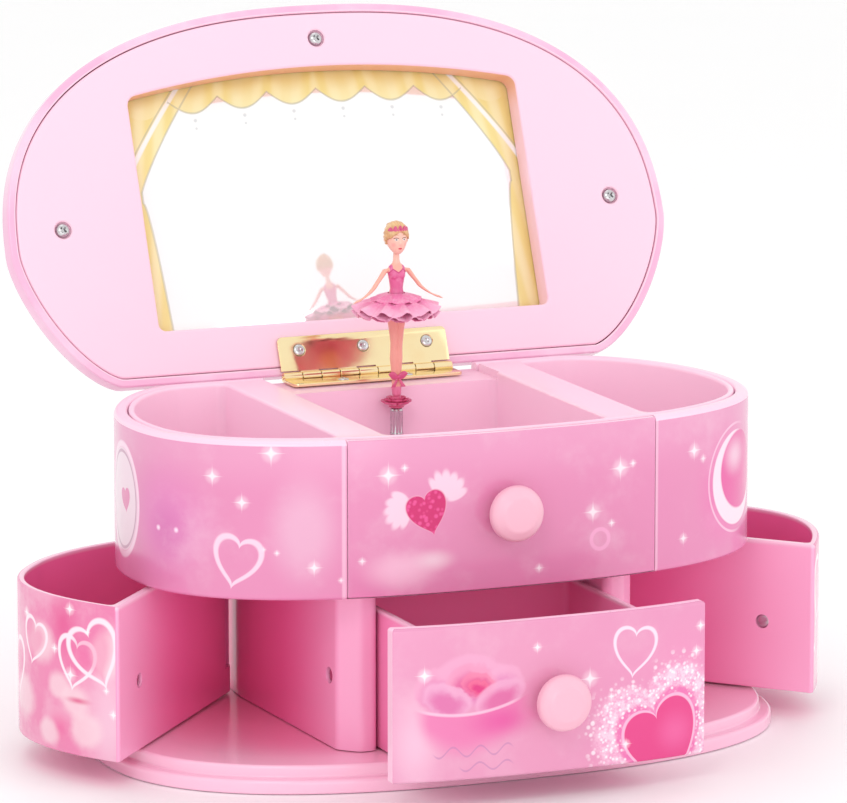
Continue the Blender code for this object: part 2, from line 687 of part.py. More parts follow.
def build_drawer(drawer_axis):
    """The drawer, drawn shut. Its axis empty carries it out to where it stands."""
    half = DRAWER_HALF
    front = -FRONT_DEPTH + DRAWER_FRONT_THICK + 3.2
    low = BASE_TOP + 0.5
    tub = prism("drawer_box", round_box(-half, half, front, DRAWER_BACK, 1.5, 2), low, DRAWER_WALL_TOP, PINK)
    wall = DRAWER_WALL
    hollow = round_box(-half + wall, half - wall, front + wall, DRAWER_BACK - wall, 1.5, 2)
    cut(tub, prism("drawer_hollow", hollow, low + wall, DRAWER_WALL_TOP + 5.0, None, CUTTERS))
    inner = -DRAWER_FRONT_THICK
    face = front_strip(FRONT_HALF + 0.3, 0.0, inner)
    rings = [level(face, DRAWER_FRONT_LOW), level(face, DRAWER_FRONT_HIGH - 1.0),
             level(front_strip(FRONT_HALF - 0.1, -1.0, inner), DRAWER_FRONT_HIGH)]
    plate = loft("drawer_front", rings, PRINTED)
    spot = (0.0, -FRONT_DEPTH + 3.0, DRAWER_KNOB_Z)
    cut(plate, cutter_rod("plate_knob_hole", 1.5, 14.0, spot, (0, 1, 0)))
    cut(tub, cutter_rod("box_knob_hole", 3.0, 14.0, (0.0, front, DRAWER_KNOB_Z), (0, 1, 0)))
    knob = build_knob("drawer_knob", -FRONT_DEPTH - GAP, DRAWER_KNOB_Z)
    screw = build_knob_screw("drawer_knob_screw", -FRONT_DEPTH + DRAWER_FRONT_THICK + 1.5,
                             DRAWER_KNOB_Z, 9.0)
    parts = [tub, plate, knob, screw]
    hang(drawer_axis, *parts)
    for obj in parts:
        hang(drawer_axis, *cutters_of(obj))


def tray_outline():
    """The right-hand tray, shut, anticlockwise from its front inner corner."""
    edge = [p for p in offset(case_line(), -1.2) if p[0] > TRAY_SIDE]
    edge.sort(key=lambda p: math.atan2(p[1], p[0]))
    top = PIVOT_Y + PIVOT_X - TRAY_SIDE
    curve = [p for p in edge if p[1] < top or p[0] > 90.0]
    curve = resample([(TRAY_SIDE, curve[0][1] + 0.02)] + curve, 40, closed=False)
    barrel = []
    for step in range(7):
        angle = math.radians(90 + 15 * step)
        radius = PIVOT_X - TRAY_SIDE
        barrel.append((PIVOT_X + radius * math.cos(angle), PIVOT_Y + radius * math.sin(angle)))
    return curve + barrel


def tray_hollow():
    """The inside of the right-hand tray: the outline moved in, short of the pivot."""
    wall = TRAY_WALL
    edge = [p for p in offset(case_line(), -1.2 - wall) if p[0] > TRAY_SIDE + wall]
    edge.sort(key=lambda p: math.atan2(p[1], p[0]))
    top = PIVOT_Y + PIVOT_X - TRAY_SIDE - wall
    curve = [p for p in edge if p[1] < top or p[0] > 90.0]
    curve = resample(curve, 36, closed=False)
    end = curve[-1]
    corner = [(PIVOT_X + 5.0, end[1]), (PIVOT_X + 5.0, PIVOT_Y - 1.0)]
    return curve + corner + [(TRAY_SIDE + wall, PIVOT_Y - 6.5)]


def build_tray(side, word, tray_axis):
    """A side tray, drawn shut about its pivot. Its axis empty swings it open."""
    def moved(outline):
        return [(side * (x - PIVOT_X), y - PIVOT_Y) for x, y in outline]

    tray = prism(f"tray_{word}", moved(tray_outline()), TRAY_LOW, TRAY_HIGH, PRINTED)
    hollow = prism(f"tray_{word}_hollow", moved(tray_hollow()), TRAY_LOW + TRAY_WALL,
                   TRAY_HIGH + 5.0, None, CUTTERS)
    bore = cutter_rod(f"tray_{word}_bore", 1.5, 160.0, (0, 0, 30.0), (0, 0, 1))
    window = turned(f"tray_{word}_relief", [(3.6, 17.0), (3.6, 48.0)], None, CUTTERS, 16)
    window.matrix_world = Matrix.Translation(Vector((side * -3.4, -0.2, 0.0)) * MM)
    at = (side * (TRAY_SIDE - PIVOT_X + 1.0), CATCH_Y - PIVOT_Y + 4.0, CATCH_Z)
    catch_hole = cutter_rod(f"tray_{word}_catch_hole", 2.4, 8.0, at, (1, 0, 0))
    for cutter in (hollow, bore, window, catch_hole):
        cut(tray, cutter)
    catch = turned(f"tray_{word}_catch", [(2.1, -0.8), (2.1, 0.8)], STEEL, sides=16)
    aim(catch, (side * (TRAY_SIDE - PIVOT_X + 1.1), CATCH_Y - PIVOT_Y + 4.0, CATCH_Z), (1, 0, 0))
    hang(tray_axis, tray, catch, hollow, bore, window, catch_hole)


def build_tray_pins():
    for side, word in ((-1, "left"), (1, "right")):
        pin = turned(f"tray_pin_{word}", [(1.0, 5.4), (1.2, 5.7), (1.2, 58.2), (1.0, 58.5)], STEEL, sides=14)
        aim(pin, (side * PIVOT_X, PIVOT_Y, 0.0), (0, 0, 1))


# ---------------------------------------------------------------- dancer


def tube(name, stations, look=None, where=None, sides=12):
    """A closed limb through stations (x, y, z, radius across x, radius across y)."""
    rings = []
    for x, y, z, rx, ry in stations:
        angles = [2 * math.pi * i / sides for i in range(sides)]
        rings.append([(x + rx * math.cos(a), y + ry * math.sin(a), z) for a in angles])
    return loft(name, rings, look, where)


def build_figure(spin):
    """Legs, body, neck and head as one moulding, with the arms joined on at the shoulders."""
    z0 = FIGURE_LOW
    stations = [(0, 0, z0, 1.5, 2.2), (0, 0, z0 + 2.0, 1.6, 2.2), (0, 0, z0 + 6.0, 1.4, 1.5),
                (0, 0, z0 + 12.0, 1.9, 1.9), (0, 0, z0 + 15.5, 1.7, 1.7), (0, 0, z0 + 18.0, 1.9, 1.9),
                (0, 0, z0 + 25.0, 2.9, 2.5), (0, 0, z0 + 28.0, 3.4, 2.8), (0, 0, z0 + 32.0, 2.9, 2.3),
                (0, 0, z0 + 34.5, 2.3, 1.9), (0, 0, z0 + 38.0, 3.0, 2.2), (0, 0, z0 + 40.3, 3.3, 2.1),
                (0, 0, z0 + 41.4, 2.4, 1.6), (0, 0, z0 + 42.2, 1.1, 1.1), (0, 0, z0 + 44.2, 1.1, 1.1),
                (0, -0.3, z0 + 45.0, 2.0, 2.0), (0, -0.3, z0 + 46.6, 3.0, 3.1),
                (0, -0.1, z0 + 48.6, 3.6, 3.7), (0, 0.1, z0 + 51.0, 3.6, 3.8),
                (0, 0.3, z0 + 53.0, 2.8, 3.0), (0, 0.4, z0 + 54.4, 1.5, 1.7), (0, 0.4, HEAD_TOP, 0.5, 0.5)]
    figure = tube("dancer_figure", stations, SKIN)
    arms = []
    for side, word in ((-1, "left"), (1, "right")):
        stations = [(side * 2.0, 0, z0 + 39.8, 0.5, 0.7), (side * 4.3, 0, z0 + 39.2, 0.95, 0.95),
                    (side * 6.6, -0.2, z0 + 36.0, 0.85, 0.85), (side * 8.6, -0.6, z0 + 33.4, 0.8, 0.8),
                    (side * 11.4, -1.0, z0 + 31.6, 0.7, 0.7), (side * 13.2, -1.2, z0 + 30.9, 0.85, 0.7),
                    (side * 14.6, -1.3, z0 + 30.3, 0.5, 0.5)]
        arm = tube(f"dancer_arm_{word}", stations, None, CUTTERS, 8)
        cut(figure, arm, "UNION")
        arms.append(arm)
    hang(spin, figure, *arms)


def build_tutu(spin):
    """The ruffled skirt, a wavy ring round the hips."""
    sides = 40
    z0 = FIGURE_LOW

    def ring(radius, height, wave, ruffle):
        points = []
        for i in range(sides):
            angle = 2 * math.pi * i / sides
            swing = math.cos(10 * angle)
            reach = radius + ruffle * swing
            points.append((reach * math.cos(angle), reach * math.sin(angle), height + wave * swing))
        return points

    rings = [ring(3.8, z0 + 29.6, 0.0, 0.0), ring(3.9, z0 + 27.0, 0.0, 0.0),
             ring(8.0, z0 + 26.0, 0.2, 0.1), ring(12.4, z0 + 25.3, 0.6, 0.3),
             ring(13.7, z0 + 26.0, 0.7, 0.4), ring(12.6, z0 + 27.2, 0.5, 0.3),
             ring(8.0, z0 + 29.0, 0.2, 0.1), ring(4.6, z0 + 30.2, 0.0, 0.0)]
    hang(spin, loft("dancer_tutu", rings, MAGENTA, loop=True))


def build_flower(spin):
    sides = 30

    def ring(radius, height, ruffle):
        points = []
        for i in range(sides):
            angle = 2 * math.pi * i / sides
            reach = radius + ruffle * math.cos(5 * angle)
            points.append((reach * math.cos(angle), reach * math.sin(angle), height))
        return points

    low = FLOWER_LOW
    rings = [ring(1.6, low, 0.0), ring(3.6, low + 0.5, 0.2), ring(4.9, low + 1.5, 0.5),
             ring(4.8, low + 2.1, 0.5), ring(3.0, low + 2.9, 0.2), ring(1.2, low + 3.3, 0.0)]
    hang(spin, loft("dancer_flower", rings, MAGENTA))


def build_rod(spin):
    profile = [(0.9, 83.6), (0.9, 88.2), (2.1, 88.3), (2.1, 96.3), (1.8, 96.6)]
    hang(spin, turned("dancer_rod", profile, STEEL, sides=20))


def build_fold(fold_axis):
    """The fixed socket on the tray's floor, its cross pin, and the link that folds forward."""
    profile = [(1.5, WELL_FLOOR - 2.4), (3.2, WELL_FLOOR - 2.4), (3.2, WELL_FLOOR + GAP),
               (5.1, WELL_FLOOR + GAP), (5.1, WELL_FLOOR + 1.4), (4.6, WELL_FLOOR + 2.0),
               (4.6, 84.0), (1.5, 84.0)]
    socket = turned("dancer_socket", profile, WHITE, sides=24, loop=True)
    aim(socket, (0, DANCER_Y, 0), (0, 0, 1))
    slot = box("socket_slot", (-2.9, 2.9), (DANCER_Y - 9.0, DANCER_Y + 3.3), (76.0, 90.0), None, CUTTERS)
    cut(socket, slot)
    cut(socket, cutter_rod("socket_pin_hole", 1.0, 20.0, (0, DANCER_Y, FOLD_Z), (1, 0, 0), 12))
    pin = turned("dancer_fold_pin", [(0.7, -4.4), (0.7, 4.4)], STEEL, sides=12)
    aim(pin, (0, DANCER_Y, FOLD_Z), (1, 0, 0))
    link = turned("dancer_fold_link", [(1.9, 2.4), (1.9, 8.0)], WHITE, sides=16)
    barrel = turned("fold_barrel", [(2.7, -2.5), (2.7, 2.5)], None, CUTTERS, 18)
    aim(barrel, (0, 0, 0), (1, 0, 0))
    cut(link, barrel, "UNION")
    bore = cutter_rod("fold_pin_bore", 1.0, 20.0, (0, 0, 0), (1, 0, 0), 12)
    cut(link, bore)
    seat = turned("fold_rod_bore", [(1.2, 3.2), (1.2, 12.0)], None, CUTTERS, 12)
    cut(link, seat)
    hang(fold_axis, link, barrel, bore, seat)


# ---------------------------------------------------------------- movement


def build_bed():
    """The movement's cast bed: a plate, the comb's block and two bearing posts."""
    low = BASE_TOP + GAP
    bed = box("movement_bed", (-31.0, 33.0), (15.0, 47.0), (low, 11.0), CAST)
    blocks = (("bed_comb_block", (14.0, 30.0), (38.0, 46.0), (10.0, 18.0)),
              ("bed_post_inner", (11.6, 13.2), (25.0, 31.0), (10.0, 21.6)),
              ("bed_post_outer", (31.0, 32.6), (25.0, 31.0), (10.0, 22.0)))
    for name, x, y, z in blocks:
        cut(bed, box(name, x, y, z, None, CUTTERS), "UNION")
    cut(bed, cutter_rod("bed_axle_bore", 1.1, 30.0, (22.0, 28.0, KEY_Z), (1, 0, 0), 12))
    cut(bed, cutter_rod("bed_barrel_bore", 1.6, 10.0, (0.0, DANCER_Y, 10.0), (0, 0, 1), 12))
    cut(bed, cutter_rod("bed_governor_bore", 1.1, 10.0, (-GOVERNOR_REACH, DANCER_Y, 10.0), (0, 0, 1), 12))
    for index, (x, y) in enumerate(BED_SCREWS):
        cut(bed, cutter_rod(f"bed_hole_{index}", 1.3, 20.0, (x, y, 10.0), (0, 0, 1), 12))
        screw = turned(f"movement_screw_{index + 1}",
                       [(0.4, -5.4), (0.9, -4.8), (0.9, 0.3), (2.4, 0.4), (2.4, 1.3), (1.8, 1.7)],
                       STEEL, sides=14)
        aim(screw, (x, y, 11.0), (0, 0, 1))
    return bed


def build_barrel(spin):
    """The spring barrel with its toothed rim and the tall spindle that carries the drive up."""
    sides = 72
    rings = []
    profile = [(1.2, 9.0, 0), (1.2, 11.5, 0), (9.6, 11.6, 0), (9.6, 23.0, 0), (11.0, 23.1, 1),
               (11.0, 24.6, 1), (7.0, 24.7, 0), (7.0, 25.6, 0), (1.1, 25.7, 0), (1.1, 74.0, 0)]
    for radius, height, toothed in profile:
        ring = []
        for i in range(sides):
            angle = 2 * math.pi * i / sides
            reach = radius - (0.8 if toothed and i % 4 in (0, 1) else 0.0)
            ring.append((reach * math.cos(angle), reach * math.sin(angle), height))
        rings.append(ring)
    hang(spin, loft("movement_barrel", rings, BRASS))


def build_cylinder(spin):
    profile = [(3.8, -12.0), (3.8, -10.8), (0.8, -10.7), (0.8, -8.4), (5.8, -8.3), (5.8, 8.3),
               (0.8, 8.4), (0.8, 10.4)]
    cylinder = turned("movement_cylinder", profile, BRASS, sides=28)
    aim(cylinder, (0, 0, 0), (1, 0, 0))
    hang(spin, cylinder)


def build_comb():
    """The steel comb, with its teeth pointing at the cylinder."""
    points = [(14.2, 45.5), (14.2, 34.6)]
    teeth = 12
    pitch = 15.6 / teeth
    for tooth in range(teeth):
        start = 14.2 + tooth * pitch
        if tooth:
            points += [(start, 34.6)]
        points += [(start + pitch * 0.7, 34.6)]
        if tooth < teeth - 1:
            points += [(start + pitch * 0.7, 40.0), (start + pitch, 40.0)]
    points += [(points[-1][0], 45.5)]
    return prism("movement_comb", points, 18.3, 19.4, STEEL)


def build_governor(spin):
    profile = [(0.8, 9.2), (0.8, 13.0), (3.2, 13.1), (3.2, 18.5), (0.8, 18.6), (0.8, 22.8),
               (2.1, 22.9), (2.1, 24.8), (0.8, 24.9), (0.8, 26.0)]
    hang(spin, turned("movement_governor", profile, BRASS, sides=16))


def build_key(turn):
    """The winding key: its shaft goes through the back wall, with a flat two-lobed grip."""
    shaft = turned("winding_key", [(2.6, -13.4), (2.6, -10.5), (1.6, -10.4), (1.6, 3.0), (2.4, 3.1),
                                   (2.4, 12.5)], STEEL, sides=18)
    aim(shaft, (0, 0, 0), (0, 1, 0))
    outline = []
    for i in range(36):
        angle = 2 * math.pi * i / 36
        reach = 4.0 + 5.0 * abs(math.cos(angle))
        outline.append((reach * math.cos(angle), 14.0 + reach * 0.9 * math.sin(angle)))
    grip = prism("key_grip", outline, -0.9, 0.9, None, CUTTERS)
    cut(shaft, grip, "UNION")
    hang(turn, shaft, grip)


# ---------------------------------------------------------------- assembly

clear_scene()
PARTS = make_collection("parts")
CUTTERS = make_collection("cutters")
CUTTERS.hide_render = True

PINK = material("pink_gloss", (0.91, 0.42, 0.60), 0.28)
PINK_LIGHT = material("pink_light", (0.95, 0.62, 0.76), 0.32)
PRINTED = material("pink_printed", (0.90, 0.45, 0.66), 0.25)
KNOB = material("knob_pink", (0.95, 0.62, 0.72), 0.35)
BRASS = material("brass", (0.83, 0.62, 0.28), 0.25, 1.0)
STEEL = material("steel", (0.60, 0.60, 0.62), 0.3, 1.0)
CAST = material("cast_metal", (0.42, 0.42, 0.43), 0.5, 1.0)
MIRROR = material("mirror", (0.93, 0.94, 0.95), 0.03, 1.0)
MAGENTA = material("magenta", (0.80, 0.10, 0.35), 0.4)
SKIN = material("skin", (0.88, 0.60, 0.45), 0.45)
WHITE = material("white_plastic", (0.85, 0.80, 0.80), 0.4)

build_base()
build_base_screws()
build_lower_frame()
build_case_catches()
build_middle_shell()
build_middle_front()
build_knob("middle_knob", -FRONT_DEPTH - GAP, MIDDLE_KNOB_Z)
build_knob_screw("middle_knob_screw", -FRONT_DEPTH + 4.15, MIDDLE_KNOB_Z, 8.0)
build_top_tray()
build_tray_pins()

lid_axis = axis("lid_axis", (0.0, HINGE_Y, HINGE_Z))
build_hinge(lid_axis)
build_lid(lid_axis)
lid_axis.rotation_euler = (math.radians(-LID_OPEN), 0.0, 0.0)

drawer_axis = axis("drawer_axis", (0.0, -DRAWER_PULL, 0.0))
build_drawer(drawer_axis)

for tray_side, tray_word in ((-1, "left"), (1, "right")):
    tray_axis = axis(f"tray_{tray_word}_axis", (tray_side * PIVOT_X, PIVOT_Y, 0.0))
    build_tray(tray_side, tray_word, tray_axis)
    tray_axis.rotation_euler = (0.0, 0.0, math.radians(tray_side * TRAY_OPEN))

fold_axis = axis("dancer_fold_axis", (0.0, DANCER_Y, FOLD_Z))
build_fold(fold_axis)
spin_axis = axis("dancer_spin_axis", (0.0, 0.0, -FOLD_Z), fold_axis)
build_rod(spin_axis)
build_flower(spin_axis)
build_figure(spin_axis)
build_tutu(spin_axis)

build_bed()
barrel_axis = axis("barrel_axis", (0.0, DANCER_Y, 0.0))
build_barrel(barrel_axis)
cylinder_axis = axis("cylinder_axis", (22.1, 28.0, KEY_Z))
build_cylinder(cylinder_axis)
build_comb()
governor_axis = axis("governor_axis", (-GOVERNOR_REACH, DANCER_Y, 0.0))
build_governor(governor_axis)
key_axis = axis("key_axis", (0.0, BACK_WALL_OUTER + 1.4, KEY_Z))
build_key(key_axis)
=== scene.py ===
"""Looks for the ballerina jewellery box: fine rounded pieces over the CAD frame, procedural plastics
with airbrushed prints, metals, a printed mirror, the dancer, a pale floor and soft studio light."""

import math

import bmesh
import bpy
import numpy as np
from mathutils import Matrix, Vector


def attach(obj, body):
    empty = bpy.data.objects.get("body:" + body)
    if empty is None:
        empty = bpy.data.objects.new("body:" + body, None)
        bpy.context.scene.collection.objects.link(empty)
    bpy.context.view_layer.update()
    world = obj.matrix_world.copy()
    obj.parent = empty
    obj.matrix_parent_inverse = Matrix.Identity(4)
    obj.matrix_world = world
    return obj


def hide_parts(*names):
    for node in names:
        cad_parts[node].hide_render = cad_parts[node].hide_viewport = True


MM = 0.001
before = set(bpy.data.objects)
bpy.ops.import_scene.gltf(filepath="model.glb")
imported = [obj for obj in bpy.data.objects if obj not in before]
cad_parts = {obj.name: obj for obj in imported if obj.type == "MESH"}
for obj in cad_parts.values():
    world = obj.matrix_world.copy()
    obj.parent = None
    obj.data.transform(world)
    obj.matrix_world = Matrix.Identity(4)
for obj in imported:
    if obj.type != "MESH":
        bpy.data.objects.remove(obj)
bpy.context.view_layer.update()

# Dimensions shared with the CAD, in millimetres
HALF_WIDTH, FRONT_DEPTH, BACK_DEPTH, BACK_STRAIGHT = 100.0, 59.0, 53.0, 64.0
FRONT_POWER, BACK_POWER = 2.55, 1.75
HINGE_Y, HINGE_Z, LID_OPEN = 51.5, 104.4, 112.0
LID_HALF, LID_NEAR, LID_FAR, LID_WIDEST, LID_STRAIGHT = 111.0, 1.0, 120.0, 45.0, 80.0
NEAR_INSET, DEEP_INSET = 5.0, 24.0
WINDOW_HALF, WINDOW_LOW, WINDOW_HIGH, WINDOW_ARCH = 66.0, 18.0, 93.0, 7.0
PIVOT_X, PIVOT_Y, TRAY_SIDE, TRAY_OPEN = 56.0, 42.0, 50.8, 41.0
DANCER_Y = 28.0
RIM = 105.0
DRAWER_OUT, DRAWER_KNOB_Z, MIDDLE_KNOB_Z, KEY_Z = 35.0, 31.0, 81.0, 19.0
STUD = (0, -36.0, 30.0)
FOOT_SCREWS = ((-43, -32), (43, -32), (-43.5, 40), (43.5, 40))
LID_SCREWS = ((-93, 52), (0, 109), (93, 52))
LEAF_SCREWS = [(x, -8.6) for x in (-21.6, 0, 21.6)]
RIM_SCREWS = [(x, -6.4) for x in (-10.8, 10.8)]
SHARP = 38  # degrees between faces from which an edge is drawn sharp

HINGE = Matrix.Translation(Vector((0, HINGE_Y, HINGE_Z)) * MM)
LID = HINGE @ Matrix.Rotation(math.radians(-LID_OPEN), 4, "X")
DRAWER = Matrix.Translation(Vector((0, -DRAWER_OUT, 0)) * MM)
DANCER = Matrix.Translation(Vector((0, DANCER_Y, 0)) * MM)


def tray_place(side):
    pivot = Matrix.Translation(Vector((side * PIVOT_X, PIVOT_Y, 0)) * MM)
    return pivot @ Matrix.Rotation(math.radians(side * TRAY_OPEN), 4, "Z") @ pivot.inverted()


# ---------------------------------------------------------------- outlines


def distances(path):
    """How far along the line each of its points lies."""
    return np.concatenate([[0.0], np.cumsum(np.hypot(*np.diff(path, axis=0).T))])


def resample(points, count, closed=True):
    path = np.array(points + [points[0]] if closed else points, float)
    along = distances(path)
    stops = np.linspace(0.0, along[-1], count, endpoint=not closed)
    return list(zip(np.interp(stops, along, path[:, 0]).tolist(),
                    np.interp(stops, along, path[:, 1]).tolist()))


def quarter(width, depth, power, straight=0.0, count=160):
    angles = [math.pi / 2 * step / count for step in range(count + 1)]
    return [(straight + width * math.cos(a) ** (2 / power), depth * math.sin(a) ** (2 / power))
            for a in angles]


def offset(points, distance):
    """Moves each point outwards of an anticlockwise outline."""
    path = np.array(points, float)
    along = np.roll(path, -1, axis=0) - np.roll(path, 1, axis=0)
    along /= np.hypot(*along.T)[:, None]
    return [tuple(p) for p in (path + np.column_stack([along[:, 1], -along[:, 0]]) * distance).tolist()]


def mirrored(outline):
    """The outline on the other side of the middle, still anticlockwise."""
    return [(-x, y) for x, y in reversed(outline)]


def rectangle(x0, y0, x1, y1):
    return [(x0, y0), (x1, y0), (x1, y1), (x0, y1)]


def level(outline, z):
    return [(x, y, z) for x, y in outline]


def rounding(edge, steps):
    """A quarter round from a flat face out to a side: (distance outwards, rise)."""
    angles = [math.pi / 2 * step / steps for step in range(steps + 1)]
    return [(edge * (math.sin(a) - 1), edge * (1 - math.cos(a))) for a in angles]


def turns(count):
    """Equal angles round a circle."""
    return [2 * math.pi * i / count for i in range(count)]


def case_line():
    back = quarter(HALF_WIDTH - BACK_STRAIGHT, BACK_DEPTH, BACK_POWER, BACK_STRAIGHT)
    front = quarter(HALF_WIDTH, -FRONT_DEPTH, FRONT_POWER)
    return back + mirrored(back) + [(-x, y) for x, y in front][1:] + list(reversed(front))[1:-1]


def case_outline(distance=0.0, count=300):
    return offset(resample(case_line(), count), distance)


def lid_line(inset=0.0, near_power=1.5):
    far = quarter(LID_HALF - inset, LID_FAR - LID_WIDEST - inset, 2.4)
    near = quarter(LID_HALF - LID_STRAIGHT, LID_WIDEST - LID_NEAR - inset, near_power, LID_STRAIGHT - inset)
    points = [(x, LID_WIDEST + y) for x, y in far]
    points += [(-x, LID_WIDEST + y) for x, y in reversed(far)][1:]
    points += [(-x, LID_WIDEST - y) for x, y in near][1:]
    return points + [(x, LID_WIDEST - y) for x, y in reversed(near)][:-1]


def lid_ring(distance, depth, count=300):
    """A ring of the lid: across, distance from the hinge turned into -Y, depth from the face."""
    ring = offset(resample(lid_line(), count), max(distance, -NEAR_INSET))
    if distance < -NEAR_INSET:  # an offset would fold over itself at the hinge corners
        share = (-distance - NEAR_INSET) / (DEEP_INSET - NEAR_INSET)
        deep = resample(lid_line(DEEP_INSET, 2.0), count)
        ring = [(x + (u - x) * share, v + (w - v) * share) for (x, v), (u, w) in zip(ring, deep)]
    return [(x, -v, depth) for x, v in ring]


def front_arc(half, distance, count=60):
    fine = sorted(p for p in offset(case_line(), distance) if p[1] < 0)
    xs = np.linspace(-half, half, count)
    ys = np.interp(xs, [p[0] for p in fine], [p[1] for p in fine])
    return list(zip(xs.tolist(), ys.tolist()))


def fillet(points, radii, steps=6, closed=True):
    """Rounds the corners of a line of points."""
    radii = [radii] * len(points) if isinstance(radii, (int, float)) else radii
    made = []
    for i, (point, radius) in enumerate(zip(points, radii)):
        here = Vector(point)
        if radius == 0 or (not closed and i in (0, len(points) - 1)):
            made.append(tuple(here))
            continue
        back = (Vector(points[i - 1]) - here).normalized()
        on = (Vector(points[(i + 1) % len(points)]) - here).normalized()
        half = back.angle(on) / 2
        reach = radius / math.tan(half)
        centre = here + (back + on).normalized() * radius / math.sin(half)
        a, b = here + back * reach - centre, here + on * reach - centre
        turn = a.angle(b)
        for t in (s / steps for s in range(steps + 1)):
            swung = (a * math.sin((1 - t) * turn) + b * math.sin(t * turn)) / math.sin(turn)
            made.append(tuple(centre + swung))
    return made


# ---------------------------------------------------------------- meshes


class Shape:
    """Points and faces gathered before they become one mesh."""

    def __init__(self):
        self.points, self.faces, self.looks, self.prints = [], [], [], []

    def face(self, corners, look=0, prints=None):
        self.faces.append(corners)
        self.looks.append(look)
        self.prints.append(prints or [(0.0, 0.0)] * len(corners))

    def loft(self, rings, looks=0, prints=None, loop=False, cap_looks=(0, 0)):
        """Skins rings of points; looks has one index, or one for each span between rings."""
        start, count = len(self.points), len(rings[0])
        for ring in rings:
            self.points += [tuple(p) for p in ring]
        for r in range(len(rings) if loop else len(rings) - 1):
            low, high = start + r * count, start + (r + 1) % len(rings) * count
            look = looks if isinstance(looks, int) else looks[r]
            for i in range(count):
                j = (i + 1) % count
                uv = prints and [prints(r, i), prints(r, i + 1), prints(r + 1, i + 1), prints(r + 1, i)]
                self.face((low + i, low + j, high + j, high + i), look, uv)
        if not loop:
            last = start + (len(rings) - 1) * count
            self.face(tuple(reversed(range(start, start + count))), cap_looks[0])
            self.face(tuple(range(last, last + count)), cap_looks[1])
        return self

    def turned(self, profile, sides, centre=(0, 0, 0), axis="Z", loop=False):
        rings = []
        for radius, height in profile:
            ring = []
            for a in turns(sides):
                p = (radius * math.cos(a), radius * math.sin(a), height)
                p = {"Z": p, "X": (p[2], p[0], p[1]), "Y": (p[0], p[2], p[1])}[axis]
                ring.append(tuple(c + d for c, d in zip(p, centre)))
            rings.append(ring)
        return self.loft(rings, loop=loop)


def make(name, shape, looks=(), sharp=SHARP):
    """A mesh object from a shape, still in its closed place."""
    mesh = bpy.data.meshes.new(name)
    mesh.from_pydata([[c * MM for c in p] for p in shape.points], [], shape.faces)
    for look in looks:
        mesh.materials.append(look)
    mesh.polygons.foreach_set("material_index", shape.looks)
    layer = mesh.uv_layers.new(name="print")
    layer.data.foreach_set("uv", [c for corners in shape.prints for uv in corners for c in uv])
    work = bmesh.new()
    work.from_mesh(mesh)
    bmesh.ops.recalc_face_normals(work, faces=work.faces)
    work.to_mesh(mesh)
    work.free()
    mesh.shade_smooth()
    mesh.set_sharp_from_angle(angle=math.radians(sharp))
    obj = bpy.data.objects.new(name, mesh)
    bpy.context.scene.collection.objects.link(obj)
    return obj


def carve(obj, *cutters, operation="DIFFERENCE"):
    """Cuts each cutter from an object, or joins it on, and removes the cutters."""
    for cutter in cutters:
        step = obj.modifiers.new("carve", "BOOLEAN")
        step.operation, step.solver, step.object = operation, "EXACT", cutter
        if cutter.data.materials:
            step.material_mode = "TRANSFER"
    apply(obj)
    for cutter in cutters:
        bpy.data.objects.remove(cutter)
    return obj


def apply(obj):
    graph = bpy.context.evaluated_depsgraph_get()
    mesh = bpy.data.meshes.new_from_object(obj.evaluated_get(graph), depsgraph=graph)
    obj.modifiers.clear()
    obj.data = mesh
    mesh.set_sharp_from_angle(angle=math.radians(SHARP))
    return obj


def seat(obj, body, nodes=(), place=None):
    """Moves a finished piece to where it is at rest, lets it ride on its body, and hides the CAD nodes that
    it stands for.
    """
    if place is not None:
        obj.data.transform(place)
    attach(obj, body)
    if nodes:
        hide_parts(*nodes)


def prism(name, outline, low, high, looks, edge, steps=4):
    """An upright prism with rounded upper and lower edges."""
    spans = [(d, low + rise) for d, rise in rounding(edge, steps)]
    spans += [(d, high - (z - low)) for d, z in reversed(spans)]
    return make(name, Shape().loft([level(offset(outline, d), z) for d, z in spans]), looks)


def hollow(outline, floor, top, flare, foot):
    """A cutter for a compartment, with a rounded mouth and a filleted floor."""
    spans = [(d, floor + rise) for d, rise in rounding(foot, 5)]
    spans += [(rise, top + d) for d, rise in rounding(flare, 5)] + [(flare, top + 8.0)]
    return make("hollow", Shape().loft([level(offset(outline, d), z) for d, z in spans]))


def bore(profile, sides=32, centre=(0, 0, 0), axis="Z"):
    """A round cutter, from radii and places along its axis."""
    return make("bore", Shape().turned(profile, sides, centre=centre, axis=axis))


def drill(centre, radius, low, high, axis="Z", sides=32):
    return bore([(radius, low), (radius, high)], sides, centre, axis)


def block(outline, low, high, name="block", looks=()):
    """An upright prism with sharp edges: a piece, or a cutter."""
    return make(name, Shape().loft([level(outline, low), level(outline, high)]), looks)


# ---------------------------------------------------------------- materials


